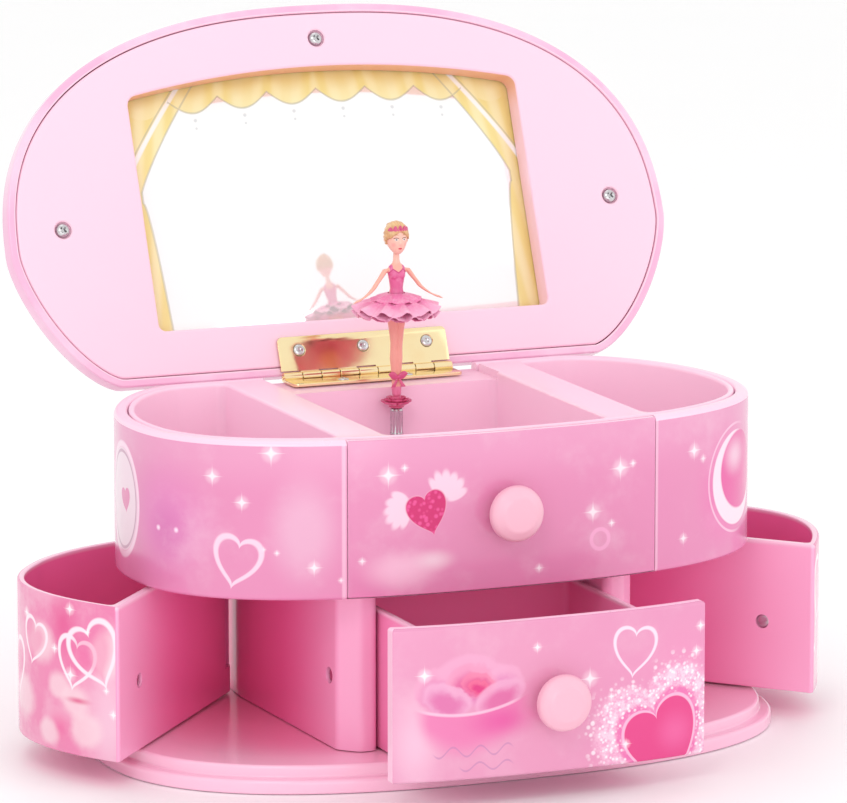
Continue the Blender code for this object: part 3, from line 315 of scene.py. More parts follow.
class Num:
    """A number inside a shader, so that a print reads as sums."""

    def __init__(self, paint, socket):
        self.paint, self.socket = paint, socket

    def math(self, kind, *others):
        node = self.paint.tree.nodes.new("ShaderNodeMath")
        node.operation = kind
        for slot, value in zip(node.inputs, (self, *others)):
            if isinstance(value, Num):
                self.paint.tree.links.new(value.socket, slot)
            else:
                slot.default_value = value
        return Num(self.paint, node.outputs[0])

    def __add__(self, other):
        return self.math("ADD", other)

    def __sub__(self, other):
        return self.math("SUBTRACT", other)

    def __mul__(self, other):
        return self.math("MULTIPLY", other)

    def __pow__(self, other):
        return self.math("POWER", other)

    def __abs__(self):
        return self.math("ABSOLUTE")

    def root(self):
        return self.math("SQRT")

    def top(self, other):
        return self.math("MAXIMUM", other)

    def low(self, other):
        return self.math("MINIMUM", other)

    def ramp(self, zero, one):
        """0 where it is at zero and 1 where it is at one, smooth between."""
        node = self.paint.tree.nodes.new("ShaderNodeMapRange")
        node.interpolation_type = "SMOOTHSTEP"
        self.paint.tree.links.new(self.socket, node.inputs["Value"])
        node.inputs["From Min"].default_value = min(zero, one)
        node.inputs["From Max"].default_value = max(zero, one)
        node.inputs["To Min"].default_value = 0.0 if zero < one else 1.0
        node.inputs["To Max"].default_value = 1.0 if zero < one else 0.0
        return Num(self.paint, node.outputs["Result"])


class Paint:
    """One material, with helpers for its colour, roughness and relief."""

    def __init__(self, name, rough=0.3, **sockets):
        self.made = bpy.data.materials.new(name)
        self.made.use_nodes = True
        self.tree = self.made.node_tree
        self.shader = self.tree.nodes["Principled BSDF"]
        for key, value in sockets.items():
            self.shader.inputs[key.replace("_", " ")].default_value = value
        self.place = self.tree.nodes.new("ShaderNodeTexCoord").outputs["Object"]
        self.colour = None
        self.rough = rough
        self.heights = []

    def part(self, socket):
        split = self.tree.nodes.new("ShaderNodeSeparateXYZ")
        self.tree.links.new(socket, split.inputs[0])
        return [Num(self, out) for out in split.outputs]

    def at(self):
        """Object coordinates in millimetres."""
        return [axis * 1000.0 for axis in self.part(self.place)]

    def printed(self):
        """Print coordinates in millimetres."""
        node = self.tree.nodes.new("ShaderNodeUVMap")
        node.uv_map = "print"
        return self.part(node.outputs[0])[:2]

    def join(self, *parts):
        node = self.tree.nodes.new("ShaderNodeCombineXYZ")
        for value, slot in zip(parts, node.inputs):
            self.tree.links.new(value.socket, slot)
        return node.outputs[0]

    def noise(self, scale, detail=2.0, rough=0.5, where=None, stretch=None):
        node = self.tree.nodes.new("ShaderNodeTexNoise")
        source = where or self.place
        if stretch:
            mapping = self.tree.nodes.new("ShaderNodeMapping")
            mapping.inputs["Scale"].default_value = stretch
            self.tree.links.new(source, mapping.inputs["Vector"])
            source = mapping.outputs[0]
        self.tree.links.new(source, node.inputs["Vector"])
        node.inputs["Scale"].default_value = scale
        node.inputs["Detail"].default_value = detail
        node.inputs["Roughness"].default_value = rough
        return Num(self, node.outputs[0])

    def cells(self, scale, where=None):
        node = self.tree.nodes.new("ShaderNodeTexVoronoi")
        self.tree.links.new(where or self.place, node.inputs["Vector"])
        node.inputs["Scale"].default_value = scale
        return Num(self, node.outputs["Distance"])

    def base(self, colour):
        node = self.tree.nodes.new("ShaderNodeRGB")
        node.outputs[0].default_value = (*colour, 1.0)
        self.colour = node.outputs[0]
        return self

    def over(self, colour, mask):
        """Lays a colour over what is there, as strongly as the mask."""
        node = self.tree.nodes.new("ShaderNodeMix")
        node.data_type = "RGBA"
        self.tree.links.new(mask.socket, node.inputs[0])
        self.tree.links.new(self.colour, node.inputs[6])
        node.inputs[7].default_value = (*colour, 1.0)
        self.colour = node.outputs[2]
        return self

    def relief(self, height, distance, strength=1.0):
        self.heights.append((height, distance, strength))
        return self

    def done(self, wander=0.06, wander_scale=60.0):
        """Joins everything to the shader and returns the material."""
        self.tree.links.new(self.colour, self.shader.inputs["Base Color"])
        rough = (self.noise(wander_scale, 3.0) - 0.5) * (2.0 * wander) + self.rough
        self.tree.links.new(rough.socket, self.shader.inputs["Roughness"])
        before = None
        for height, distance, strength in self.heights:
            bump = self.tree.nodes.new("ShaderNodeBump")
            bump.inputs["Strength"].default_value = strength
            bump.inputs["Distance"].default_value = distance * MM
            self.tree.links.new(height.socket, bump.inputs["Height"])
            if before is not None:
                self.tree.links.new(before, bump.inputs["Normal"])
            before = bump.outputs["Normal"]
        if before is not None:
            self.tree.links.new(before, self.shader.inputs["Normal"])
        return self.made


def plastic(name, colour, rough=0.27, shade=None, peel=0.05, coat=0.25):
    """Moulded plastic: faint flow marks in its colour, a fine orange-peel surface."""
    paint = Paint(name, rough, Coat_Weight=coat, Coat_Roughness=0.12, IOR=1.49, Subsurface_Weight=0.0)
    paint.base(colour)
    deep = shade or tuple(c * 0.93 for c in colour)
    paint.over(deep, paint.noise(14.0, 3.0).ramp(0.35, 0.75) * 0.5)
    paint.relief(paint.noise(900.0, 2.0), peel, 0.35)
    paint.relief(paint.noise(55.0, 2.0), 0.25, 0.12)
    return paint


def metal(name, colour, rough=0.22, brushed=(4.0, 400.0, 400.0), dark=None):
    paint = Paint(name, rough, Metallic=1.0)
    paint.base(colour)
    paint.over(dark or tuple(c * 0.72 for c in colour), paint.noise(90.0, 4.0).ramp(0.45, 0.8) * 0.5)
    paint.relief(paint.noise(1.0, 2.0, stretch=brushed), 0.02, 0.25)
    return paint.done(0.09, 150.0)


# ---------------------------------------------------------------- printed motifs


def square(a):
    return a * a


def length(a, b):
    return (a * a + b * b).root()


def heart(u, v, x, y, size, tilt=0.0):
    """Below 0 inside a heart, 0 on its line."""
    c, s = math.cos(math.radians(tilt)) / size, math.sin(math.radians(tilt)) / size
    a = (u - x) * c + (v - y) * s
    b = (v - y) * c - (u - x) * s
    lobes = b * 1.12 - (abs(a) + 0.0001).root() * 0.75 + 0.22
    return length(a, lobes) - 1.0


def outline_of(shape, width):
    return abs(shape).ramp(width, width * 0.35)


def spark(u, v, x, y, size):
    """A four-pointed star with a soft glow."""
    a, b = abs(u - x) * (1.0 / size), abs(v - y) * (1.0 / size)
    star = ((a + 0.0001).root() + (b + 0.0001).root()).ramp(1.0, 0.5)
    far = a * a + b * b
    return star.top(far.ramp(0.05, 0.008)).top(far.ramp(0.34, 0.0) * 0.4)


def dot(u, v, x, y, size, soft):
    return (length(u - x, v - y) * (1.0 / size)).ramp(1.0, soft)


def blob(u, v, x, y, wide, tall, soft=0.0, tilt=0.0):
    c, s = math.cos(math.radians(tilt)), math.sin(math.radians(tilt))
    a = (u - x) * (c / wide) + (v - y) * (s / wide)
    b = (v - y) * (c / tall) - (u - x) * (s / tall)
    return length(a, b).ramp(1.0, soft)


def wing(u, v, x, y, feathers):
    """A fan of feathers from one root: (angle, length, width)."""
    made = None
    for angle, long, wide in feathers:
        c, s = math.cos(math.radians(angle)), math.sin(math.radians(angle))
        one = blob(u, v, x + c * long * 0.5, y + s * long * 0.5, long * 0.56, wide, 0.6, angle)
        made = one if made is None else made.top(one)
    return made


# ---------------------------------------------------------------- the looks

DEEP = (0.80, 0.22, 0.46)
WHITE = (0.97, 0.90, 0.94)
VIOLET = (0.62, 0.14, 0.40)


def motes(paint, u, v, scale, size):
    """Tiny scattered dots of print."""
    return paint.cells(scale, paint.join(u, v)).ramp(size, size * 0.4)


def clouds(paint, u, v, scale, low, high):
    return paint.noise(scale, 5.0, 0.6, paint.join(u, v)).ramp(low, high)


def stars(paint, u, v, strength, places):
    for x, y, size in places:
        paint.over(WHITE, spark(u, v, x, y, size) * strength)


def printed(name, colour, shade):
    """Glossy plastic under a print."""
    return plastic(name, colour, 0.2, shade, 0.03, 0.35)


def printed_body():
    """The middle tier's print, unrolled: millimetres along the wall from the middle of the front."""
    paint = printed("print_middle", (0.745, 0.255, 0.455), (0.715, 0.22, 0.43))
    u, v = paint.printed()
    paint.over((0.80, 0.36, 0.55), v.ramp(86, 104) * 0.6)
    paint.over((0.74, 0.22, 0.50), blob(u, v, -108, 79, 24, 24) * 0.9)
    paint.over(VIOLET, blob(u, v, -107, 76, 12, 13) * 0.6)
    paint.over((0.80, 0.46, 0.62), blob(u, v, -63, 78, 14, 21, 0.2) * 0.7)
    paint.over((0.84, 0.52, 0.66), clouds(paint, u, v, 0.045, 0.48, 0.75) * 0.4)
    paint.over((0.90, 0.52, 0.68), blob(u, v, -34, 65, 16, 8, 0.1) * 0.9)
    paint.over((0.90, 0.68, 0.76), blob(u, v, -24, 67.5, 9, 4.5) * 0.7)
    stars(paint, u, v, 0.8, (
        (-90.5, 94, 5.0), (-72.6, 101.5, 6.2), (-81.4, 86.5, 4.6), (-38, 94, 6.0), (37.5, 90.5, 6.0),
        (42, 91.5, 2.6), (28, 78, 5.4), (34.5, 74, 2.6), (66.4, 92.5, 5.0), (70.5, 89.5, 2.8),
        (10, 62.5, 3.0), (-60, 67, 4.2), (-46, 68.5, 2.6), (-52, 63, 2.0), (62, 66, 3.5),
        (-75, 72.5, 1.8), (-71, 71.5, 2.0), (-33, 96, 2.6), (104, 96, 4.0)))
    for x, y in ((-110.5, 76.3), (-103.1, 76.5)):
        paint.over((0.98, 0.72, 0.88), dot(u, v, x, y, 1.2, 0.1))
    loose = heart(u, v, -83.2, 68.3, 7.0, -12)
    paint.over((0.95, 0.66, 0.80), outline_of(loose, 0.17) * 0.9)
    # a pale oval medallion at the left, and a crescent at the right
    reach = length((u + 133.5) * (1 / 11.5), (v - 81) * (1 / 16.0))
    paint.over((0.86, 0.70, 0.78), reach.ramp(1.0, 0.96) * 0.9)
    paint.over((0.93, 0.66, 0.80), outline_of(reach - 1.05, 0.09))
    paint.over((0.45, 0.18, 0.32), outline_of(reach - 0.92, 0.045) * 0.7)
    paint.over((0.72, 0.10, 0.34), heart(u, v, -131, 81, 3.6, 8).ramp(0.04, -0.04) * 0.8)
    paint.over((0.80, 0.14, 0.42), blob(u, v, 84, 78, 20, 24, 0.15) * 0.75)
    disc = length((u - 89.0) * (1 / 14.0), (v - 81) * (1 / 15.0))
    hole = length((u - 91.5) * (1 / 12.2), (v - 83.2) * (1 / 12.4))
    paint.over((0.76, 0.09, 0.34), disc.ramp(1.0, 0.97) * 0.9)
    paint.over((0.90, 0.70, 0.80), blob(u, v, 88, 88, 9, 8) * 0.7)
    paint.over((0.93, 0.72, 0.83), disc.ramp(1.0, 0.96) * hole.ramp(0.94, 1.02))
    paint.over((0.93, 0.60, 0.76), outline_of(disc - 1.12, 0.035) * u.ramp(96, 84) * 0.7)
    # the winged heart
    left = ((150, 6.5, 1.9), (178, 7.6, 2.2), (200, 8.6, 2.2), (219, 9.4, 2.2), (237, 9.6, 2.0),
            (254, 8.4, 1.8))
    right = ((128, 9.0, 1.8), (110, 9.8, 2.0), (91, 9.6, 2.2), (71, 9.0, 2.2), (49, 8.4, 2.2),
             (24, 7.4, 1.9))
    paint.over((0.92, 0.66, 0.79), wing(u, v, -31.6, 85.5, left) * 0.85)
    paint.over((0.92, 0.66, 0.79), wing(u, v, -20.0, 85.5, right) * 0.85)
    jewel = heart(u, v, -25.6, 81.6, 6.4, 16)
    paint.over((0.62, 0.01, 0.15), jewel.ramp(0.03, -0.03))
    paint.over((0.84, 0.08, 0.32), (motes(paint, u, v, 0.62, 0.55) * jewel.ramp(0.0, -0.1)) * 0.85)
    paint.over((0.90, 0.42, 0.60), outline_of(jewel, 0.05) * 0.5)
    circle = length(u - 30.5, v - 69.5) * (1 / 3.0)
    paint.over((0.92, 0.42, 0.66), outline_of(circle - 1.0, 0.3) * 0.7)
    paint.over(DEEP, v.ramp(60, 57) * 0.35)
    # painted highlight along the seams beside the front panel
    paint.over((0.93, 0.60, 0.75), abs(abs(u) - 51.1).ramp(0.9, 0.3) * 0.55)
    return paint.done()


def printed_drawer():
    paint = printed("print_drawer", (0.765, 0.31, 0.49), (0.735, 0.245, 0.455))
    u, v = paint.printed()
    paint.over((0.80, 0.41, 0.57), clouds(paint, u, v, 0.05, 0.45, 0.7) * 0.5)
    paint.over((0.82, 0.25, 0.48), blob(u, v, 44, 34, 22, 24) * 0.5)
    paint.over((0.92, 0.62, 0.76), blob(u, v, -44, 20, 12, 22) * 0.6)
    # the rose: overlapping petals, deep inside and pale at their rims, with a cup below
    off = u + 27
    below = v - 28.6 - off * 0.06 - (off * off) * 0.011
    keel = v - 16.5 - off * 0.12 - (off * off) * 0.034
    folds = paint.noise(0.13, 3.0, 0.6, paint.join(u, v)) - 0.5
    wander, rise = u + folds * 5.0, v + folds * 4.0

    def petal(x, y, wide, tall, tilt, deep, pale):
        whole = blob(wander, rise, x, y, wide, tall, 0.8, tilt)
        lower = blob(wander, rise, x, y - tall * 0.22, wide * 0.93, tall * 0.86, 0.35, tilt)
        paint.over((0.82, pale * 0.85, pale + 0.13), whole * 0.8)
        paint.over((0.68, deep * 0.7, deep + 0.18), lower * 0.85)

    for one in ((-27, 38.5, 12.5, 9.0, 0, 0.22, 0.44), (-37.5, 36.5, 7.0, 7.5, 20, 0.20, 0.42),
                (-16.5, 36.5, 7.0, 6.8, -20, 0.24, 0.44), (-26.5, 38.2, 8.4, 5.8, -6, 0.08, 0.36),
                (-24.5, 37.4, 6.0, 4.2, -12, 0.03, 0.24), (-24.5, 36.6, 3.6, 2.4, -14, 0.01, 0.16),
                (-34.5, 33.4, 8.5, 5.4, -24, 0.18, 0.48), (-18.0, 33.2, 9.0, 5.0, 22, 0.14, 0.46)):
        petal(*one)
    cup = below.ramp(0.3, -0.5) * keel.ramp(-3.0, 6.0) * abs(u + 26).ramp(19, 13)
    paint.over((0.79, 0.18, 0.42), cup * 0.9)
    paint.over((0.74, 0.08, 0.34), (below.ramp(0.3, -0.5) * blob(u, v, -17, 26, 15, 7)) * 0.85)
    paint.over((0.92, 0.56, 0.72), (abs(below).ramp(0.75, 0.1) * abs(off).ramp(17, 12)) * 0.8)
    # a plain flourish under the rose
    for x, y, reach, bend in ((-26, 17.5, 13, 1.5), (-22, 12.8, 9, -1.2)):
        wave = ((u - x) * (2 * math.pi / 8.5)).math("SINE") * bend
        line = abs(v - y - wave)
        paint.over((0.50, 0.20, 0.42), line.ramp(0.42, 0.16) * abs(u - x).ramp(reach, reach - 2) * 0.55)
    # hearts
    loose = heart(u, v, 25.8, 42.6, 7.0, -6)
    paint.over((0.96, 0.74, 0.86), outline_of(loose, 0.11) * 0.9)
    big = heart(u, v, 36.4, 13.4, 12.6, 20)
    where = paint.join(u, v)
    around = big.ramp(0.85, 0.45) * big.ramp(0.0, 0.08)
    paint.over((0.86, 0.40, 0.62), around * 0.6)
    paint.over((0.93, 0.66, 0.78), (around * paint.noise(0.30, 5.0, 0.75, where).ramp(0.40, 0.60)) * 0.9)
    paint.over((0.78, 0.08, 0.36), (big.ramp(0.26, 0.12) * big.ramp(0.0, 0.05)) * 0.7)
    froth = paint.cells(0.75, where).ramp(0.46, 0.2)
    paint.over(WHITE, (big.ramp(0.95, 0.5) * big.ramp(0.02, 0.12)) * froth * 0.8)
    specks = paint.cells(0.42, where).ramp(0.4, 0.2)
    paint.over(WHITE, (big.ramp(1.15, 0.8) * big.ramp(0.5, 0.7)) * specks * 0.7)
    paint.over((0.74, 0.045, 0.235), big.ramp(0.03, -0.03))
    paint.over((0.86, 0.16, 0.42), (blob(u, v, 40, 17, 9, 9) * big.ramp(0.0, -0.1)) * 0.5)
    paint.over((0.93, 0.46, 0.66), outline_of(big, 0.05))
    stars(paint, u, v, 0.85, ((11, 36, 5.5), (49, 48, 3.4), (47.5, 40.5, 3.4), (44, 34.5, 2.4),
                              (-41, 41, 4.6), (-6, 47, 3.0), (18, 30, 2.4), (23, 15, 3.2)))
    return paint.done()


def printed_tray(side):
    """Clouds, linked hearts and stars; u runs from the tray's front corner towards its back."""
    paint = printed(f"print_tray_{side}", (0.80, 0.22, 0.42), (0.78, 0.16, 0.36))
    u, v = paint.printed()
    paint.over((0.84, 0.38, 0.54), clouds(paint, u, v, 0.04, 0.42, 0.6) * 0.75)
    paint.over((0.86, 0.52, 0.66), blob(u, v, 4, 20, 13, 34) * 0.95)
    paint.over((0.74, 0.07, 0.27), blob(u, v, 22, 48, 9, 14) * 0.9)
    paint.over((0.80, 0.12, 0.33), blob(u, v, 24, 16, 8, 7) * 0.8)
    puffs = paint.noise(0.09, 4.0, 0.55, paint.join(u, v)) * 0.6
    for x, y, wide, tall in ((17, 25, 7, 6), (24, 29, 6, 5), (13, 17, 8, 7), (34, 41, 9, 8), (5, 41, 7, 9),
                             (45, 22, 10, 8), (29, 14, 6, 5)):
        puff = length((u - x) * (1 / wide), (v - y) * (1 / tall)) + puffs
        paint.over((0.90, 0.66, 0.72), puff.ramp(1.35, 0.75) * 0.7)
    for x, y, size, tilt in ((17, 36.5, 7.4, 10), (9, 40, 9.2, -24), (37, 40, 6.5, 14), (52, 30, 8, -10)):
        drawn = heart(u, v, x, y, size, tilt)
        paint.over((0.80, 0.12, 0.34), drawn.ramp(0.0, -0.5) * 0.45)
        paint.over((0.97, 0.76, 0.85), outline_of(drawn, 0.13))
    stars(paint, u, v, 0.9, ((19, 33, 5.0), (26, 40, 3.2), (19, 53, 4.0), (5, 30, 2.4), (2.5, 23, 3.2),
                             (12, 47, 2.2), (42, 48, 4.0), (58, 20, 4.5), (66, 44, 4.0)))
    paint.over((0.70, 0.04, 0.20), blob(u, v, 16, 25.5, 7, 1.5) * 0.8)
    return paint.done()


def printed_lid():
    """The lid's outer face: soft clouds, two hearts and stars."""
    paint = printed("print_lid", (0.88, 0.46, 0.66), (0.85, 0.40, 0.62))
    u, v = paint.printed()
    paint.over((0.93, 0.64, 0.79), clouds(paint, u, v, 0.022, 0.42, 0.66) * 0.8)
    paint.over((0.80, 0.22, 0.50), blob(u, v, 0, 58, 64, 40) * 0.35)
    for x, y, size, tilt in ((-16, 60, 24, 12), (22, 66, 16, -14)):
        drawn = heart(u, v, x, y, size, tilt)
        paint.over((0.90, 0.42, 0.64), drawn.ramp(0.0, -0.6) * 0.5)
        paint.over((0.97, 0.80, 0.89), outline_of(drawn, 0.06))
    stars(paint, u, v, 0.85, ((-62, 80, 8), (58, 92, 7), (70, 48, 6), (-50, 30, 6), (-80, 46, 5), (40, 26, 5),
                              (0, 98, 6), (-34, 98, 4)))
    return paint.done()


def printed_mirror():
    """Silvered acrylic with a yellow curtain printed on its face."""
    paint = Paint("print_mirror", 0.04, Metallic=0.0, IOR=1.49, Coat_Weight=0.0)
    paint.base((0.985, 0.99, 0.99))
    u, v = paint.printed()
    yellow, fold, gold = (0.86, 0.74, 0.30), (0.93, 0.86, 0.52), (0.72, 0.52, 0.12)
    edge = (0.47, 0.47, 0.36)
    pitch = 16.8  # from one scallop to the next
    scallop = abs(((u + 50.0) * (math.pi / pitch)).math("SINE"))
    hem = abs((scallop * -4.6 + 95.6) - (u * u) * 0.0008 - 1.0)
    drop = v - hem
    # drapes: their inner edge runs in to a tie and falls straight below it
    reach = abs(u)
    tie = 60.5
    swoop = (v - tie) * (1 / 32.0)
    inner_up = ((swoop.top(0.0) ** 1.25) * -19.0) + 64.0
    lower = (v * -1.0 + tie) * (1 / 42.0)
    inner_low = ((lower.top(0.0) ** 0.55) * -4.0) + 62.8
    inner = inner_up.low(inner_low)
    side = reach - inner
    strip = abs(reach - inner_up - 6.5 + swoop * 1.5).ramp(1.3, 0.5) * v.ramp(62.5, 66.0)
    drape = side.ramp(-0.25, 0.25)
    valance = drop.ramp(-0.25, 0.25)
    cloth = drape.top(valance)
    pleats = ((reach + v * 0.16) * 0.95).math("SINE").ramp(-1.0, 1.0)
    paint.over(yellow, cloth)
    paint.over(fold, (pleats * cloth) * 0.75)
    paint.over(fold, (scallop.ramp(0.4, 1.0) * valance) * 0.6)
    paint.over(gold, reach.ramp(62.0, 66.5) * drape * 0.5)
    paint.over(gold, drop.ramp(2.5, 8.0) * valance * 0.45)
    paint.over((0.96, 0.96, 0.93), strip)
    lines = outline_of(side, 0.55)
    lines = lines.top(outline_of(drop, 0.5) * reach.ramp(50.5, 50.0))
    lines = lines.top(abs(reach - inner_up - 7.9 + swoop * 1.5).ramp(0.5, 0.2) * v.ramp(62.5, 66.0))
    paint.over(edge, lines * 0.55)
    # small pendants below each scallop
    cell = ((u + 50.0) * (1 / pitch)).math("FRACT") - 0.5
    for down, size in ((2.4, 0.75), (5.0, 0.55)):
        pearl = length(cell * pitch, drop + down).ramp(size, size * 0.5)
        paint.over((0.55, 0.58, 0.60), (pearl * reach.ramp(49, 48)) * 0.55)
    # clear of the print it is silvered; the print is a satin ink
    clear = cloth.top(strip) * -1.0 + 1.0
    paint.tree.links.new((clear * 0.5).socket, paint.shader.inputs["Metallic"])
    paint.rough = clear * -0.28 + 0.34
    return paint.done(0.01, 30.0)


def inside(name, rim, pale=0.8, is_tray=False):
    """Pink mouldings with painted shade: deep pink near the pins that the trays swing on, paler away from
    them, and paler along the thin rim as painted light.
    """
    paint = plastic(name, (0.95, 0.20, 0.46), 0.24, (0.92, 0.15, 0.40), 0.012)
    x, y, z = paint.at()
    across, along = abs(x) - PIVOT_X, y - PIVOT_Y
    # painted shade: the base colour is the deep pink, and it turns pale further from the pins the trays swing
    # on
    away = length(across, along).ramp(38, 92) * pale
    if is_tray:  # on a tray the painted shade lifts only on the flat side that shuts against the case
        turn = math.radians(TRAY_OPEN)
        depth = across * math.cos(turn) + along * math.sin(turn) - (TRAY_SIDE - PIVOT_X)
        away = away * depth.ramp(1.4, 0.4)
    paint.over((0.95, 0.47, 0.68), away)
    # painted light: paler along the thin rim
    paint.over((0.96, 0.60, 0.75), z.ramp(rim - 1.6, rim - 0.3) * 0.9)
    return paint.done()


def base_paint():
    """The base: pale at its steps, deeper where the middle tier shades it."""
    paint = plastic("pink_gloss", (0.96, 0.56, 0.72), 0.2, (0.95, 0.52, 0.69))
    x, y, z = paint.at()
    far = (abs(x) * 0.01) ** 2.55 + (abs(y) * (1 / 59.0)) ** 2.55
    paint.over((0.92, 0.27, 0.47), far.ramp(0.85, 0.3) * z.ramp(7.0, 7.8) * 0.75)
    return paint.done()


def reveal_paint():
    """The window's deep edge: pink at the sides, golden along the top as a painted reflection of the curtain.
    """
    paint = plastic("lid_reveal", (0.96, 0.62, 0.70), 0.3, (0.95, 0.58, 0.64), 0.03, 0.15)
    # painted reflection of the curtain along the top of the reveal
    paint.over((0.84, 0.42, 0.22), paint.at()[2].ramp(178, 190) * 0.9)
    return paint.done()


pink = base_paint()
inner = inside("pink_inside", 80.0)
drawer_pink = inside("pink_drawer", 51.0, 0.3)
tray_pink = inside("pink_tray", 55.8, is_tray=True)
light = plastic("pink_light", (0.98, 0.64, 0.79), 0.30, (0.97, 0.60, 0.76)).done()
lid_pink = plastic("pink_lid_face", (0.975, 0.64, 0.77), 0.33, (0.965, 0.62, 0.765), 0.03, 0.15).done()
reveal = reveal_paint()
knob = plastic("knob_pink", (0.89, 0.47, 0.585), 0.34, coat=0.15).done()
white = plastic("white_plastic", (0.86, 0.80, 0.82), 0.35).done()
brass = metal("brass", (0.95, 0.78, 0.46), 0.16, dark=(0.92, 0.66, 0.34))
steel = metal("steel", (0.62, 0.61, 0.62), 0.25)
cast = metal("cast_metal", (0.42, 0.42, 0.43), 0.5)
body_print = printed_body()
drawer_print = printed_drawer()
tray_prints = {-1: printed_tray(-1), 1: printed_tray(1)}
lid_print = printed_lid()
mirror = printed_mirror()


# ---------------------------------------------------------------- the fixed case


def rounded_profile(points, radii, steps=6):
    """A profile (distance outwards, height) with its corners rounded."""
    return fillet(points, radii, steps, closed=False)


def build_base():
    profile = rounded_profile([(-30, 0), (8.0, 0), (8.0, 4.4), (4.2, 4.4), (4.2, 8.0), (-30, 8.0)],
                              [0, 0.8, 1.3, 0.6, 1.1, 0])
    rings = [level(case_outline(max(d, -10.0)), z) for d, z in profile]
    base = make("base", Shape().loft(rings), [pink])
    carve(base, *[drill((x, y, 0), 3.2, -2.0, 2.5, sides=24) for x, y in FOOT_SCREWS])
    seat(base, "case", ["base_plate"])


def build_lower_frame():
    right = [(37.0, 49.4), (37.0, -47.0), (43.0, -47.0), (48.4, -41.5), (50.2, 34.0), (49.2, 44.0),
             (48.6, 52.0)]
    radii = [0, 2.6, 4.0, 4.0, 0, 0, 1.0]
    line = fillet(right + mirrored(right), radii + radii[::-1], 7)
    holes = [drill(STUD, 2.5, side * 46.0, side * 60.0, "X") for side in (-1, 1)]
    holes.append(drill((0, 0, KEY_Z), 3.2, 40.0, 60.0, "Y"))
    walls = carve(block(line, 8.3, 56.7, "lower_frame_walls", [inner]), *holes)
    seat(walls, "case", ["lower_frame"])


def case_prints(outline):
    """Print coordinates round the case: millimetres along the wall from the middle of the front."""
    path = np.array(outline + [outline[0]])
    along = distances(path)
    front = int(np.argmin(np.abs(path[:-1, 0]) + (path[:-1, 1] > 0) * 1000.0))
    total = along[-1]
    us = along - along[front]
    return np.where(us < -total / 2, us + total, us).tolist(), total


def build_middle_shell():
    profile = rounded_profile([(-20, 57.0), (0, 57.0), (0, RIM), (-4.2, RIM), (-4.2, 60.0)],
                              [0, 1.2, 1.9, 1.2, 0], 7)
    rings = [level(case_outline(d), z) for d, z in profile]
    us, total = case_prints(case_outline())
    looks = [int(min(d0, d1) > -1.0 and z1 < 103.9) for (d0, _), (d1, z1) in zip(profile, profile[1:])]
    shape = Shape().loft(rings, looks, lambda r, i: (us[i % len(us)], profile[r][1]))
    for index, corners in enumerate(shape.prints):  # where the print meets itself at the back
        if max(u for u, _ in corners) - min(u for u, _ in corners) > total / 2:
            shape.prints[index] = [(u + total if u < 0 else u, v) for u, v in corners]
    shell = make("tub_wall", shape, [light, body_print])
    pocket = block(front_arc(50.2, 3.0) + front_arc(50.2, -2.2)[::-1], 57.2, 110.0)
    ledge = block(rectangle(-36, 42.5, 36, 60), 102.5, 110.0)
    spindle = drill((0, DANCER_Y, 0), 3.0, 50, 64)
    carve(shell, pocket, ledge, spindle, drill((0, 0, MIDDLE_KNOB_Z), 2.9, -60, -50, "Y", 24))
    seat(shell, "case", ["middle_shell"])


def plate(name, half, thick, low, high, look, chamfer):
    """A curved front plate with softened edges and its print on the front."""
    count = 90
    curve = np.array(sorted(p for p in case_line() if p[1] < 0))
    along = distances(curve)
    us = np.interp(np.linspace(-half, half, count), curve[:, 0], along)
    us -= np.interp(0.0, curve[:, 0], along)
    us = np.concatenate([us, us[::-1]]).tolist()

    def ring(z, front):
        line = front_arc(half, front, count) + front_arc(half, -thick, count)[::-1]
        return [(x * (half + front) / half, y, z) for x, y in line]

    spans = [(low + rise, d) for d, rise in rounding(chamfer, 5)]
    spans += [(high - (z - low), d) for z, d in reversed(spans)]
    shape = Shape().loft([ring(z, d) for z, d in spans], 0, lambda r, i: (us[i % len(us)], spans[r][0]))
    sides = len(shape.faces) - 2
    shape.looks = [int(i % len(us) >= count - 1) for i in range(sides)] + [1, 1]
    return make(name, shape, [look, light])


def build_middle_front():
    panel = plate("tub_front", 49.9, 1.9, 57.5, 104.8, body_print, 0.35)
    seat(panel, "case", ["middle_front_panel"])


KNOB = rounded_profile([(0.01, 0.0), (3.4, 0.0), (3.2, 1.9), (6.4, 2.3), (8.6, 4.7), (8.3, 7.4), (5.2, 8.95),
                        (0.01, 9.05)], [0, 0.4, 0.8, 1.2, 1.9, 2.4, 3.0, 0], 7)


def build_knob(name, z, body, nodes, place=None):
    shape = Shape().turned([(r, -59.3 - h) for r, h in KNOB], 72, centre=(0, 0, z), axis="Y")
    seat(make(name, shape, [knob]), body, nodes, place)


def well_outline(kind):
    edge = offset(resample(case_line(), 420), -6.4)
    if kind == "centre":
        front = sorted(p for p in edge if p[1] < 0 and abs(p[0]) < 33.5)
        corners = [(-36.0, front[0][1] + 0.35), (36.0, front[0][1] + 0.35), (36.0, 33.5), (-36.0, 33.5)]
        rounded = fillet(corners, 2.6, 6)
        return rounded[:7] + front[1:-1:2] + rounded[7:]
    ring = sorted((p for p in edge if p[0] > 52.4), key=lambda p: math.atan2(p[1], p[0]))
    low, high = ring[0], ring[-1]
    points = [(50.0, low[1] + 2.8), (50.45, low[1] + 1.2), (51.3, low[1] + 0.35)] + ring[::2]
    points += [(51.3, high[1] - 0.35), (50.45, high[1] - 1.2), (50.0, high[1] - 2.8)]
    return points if kind == "right" else mirrored(points)


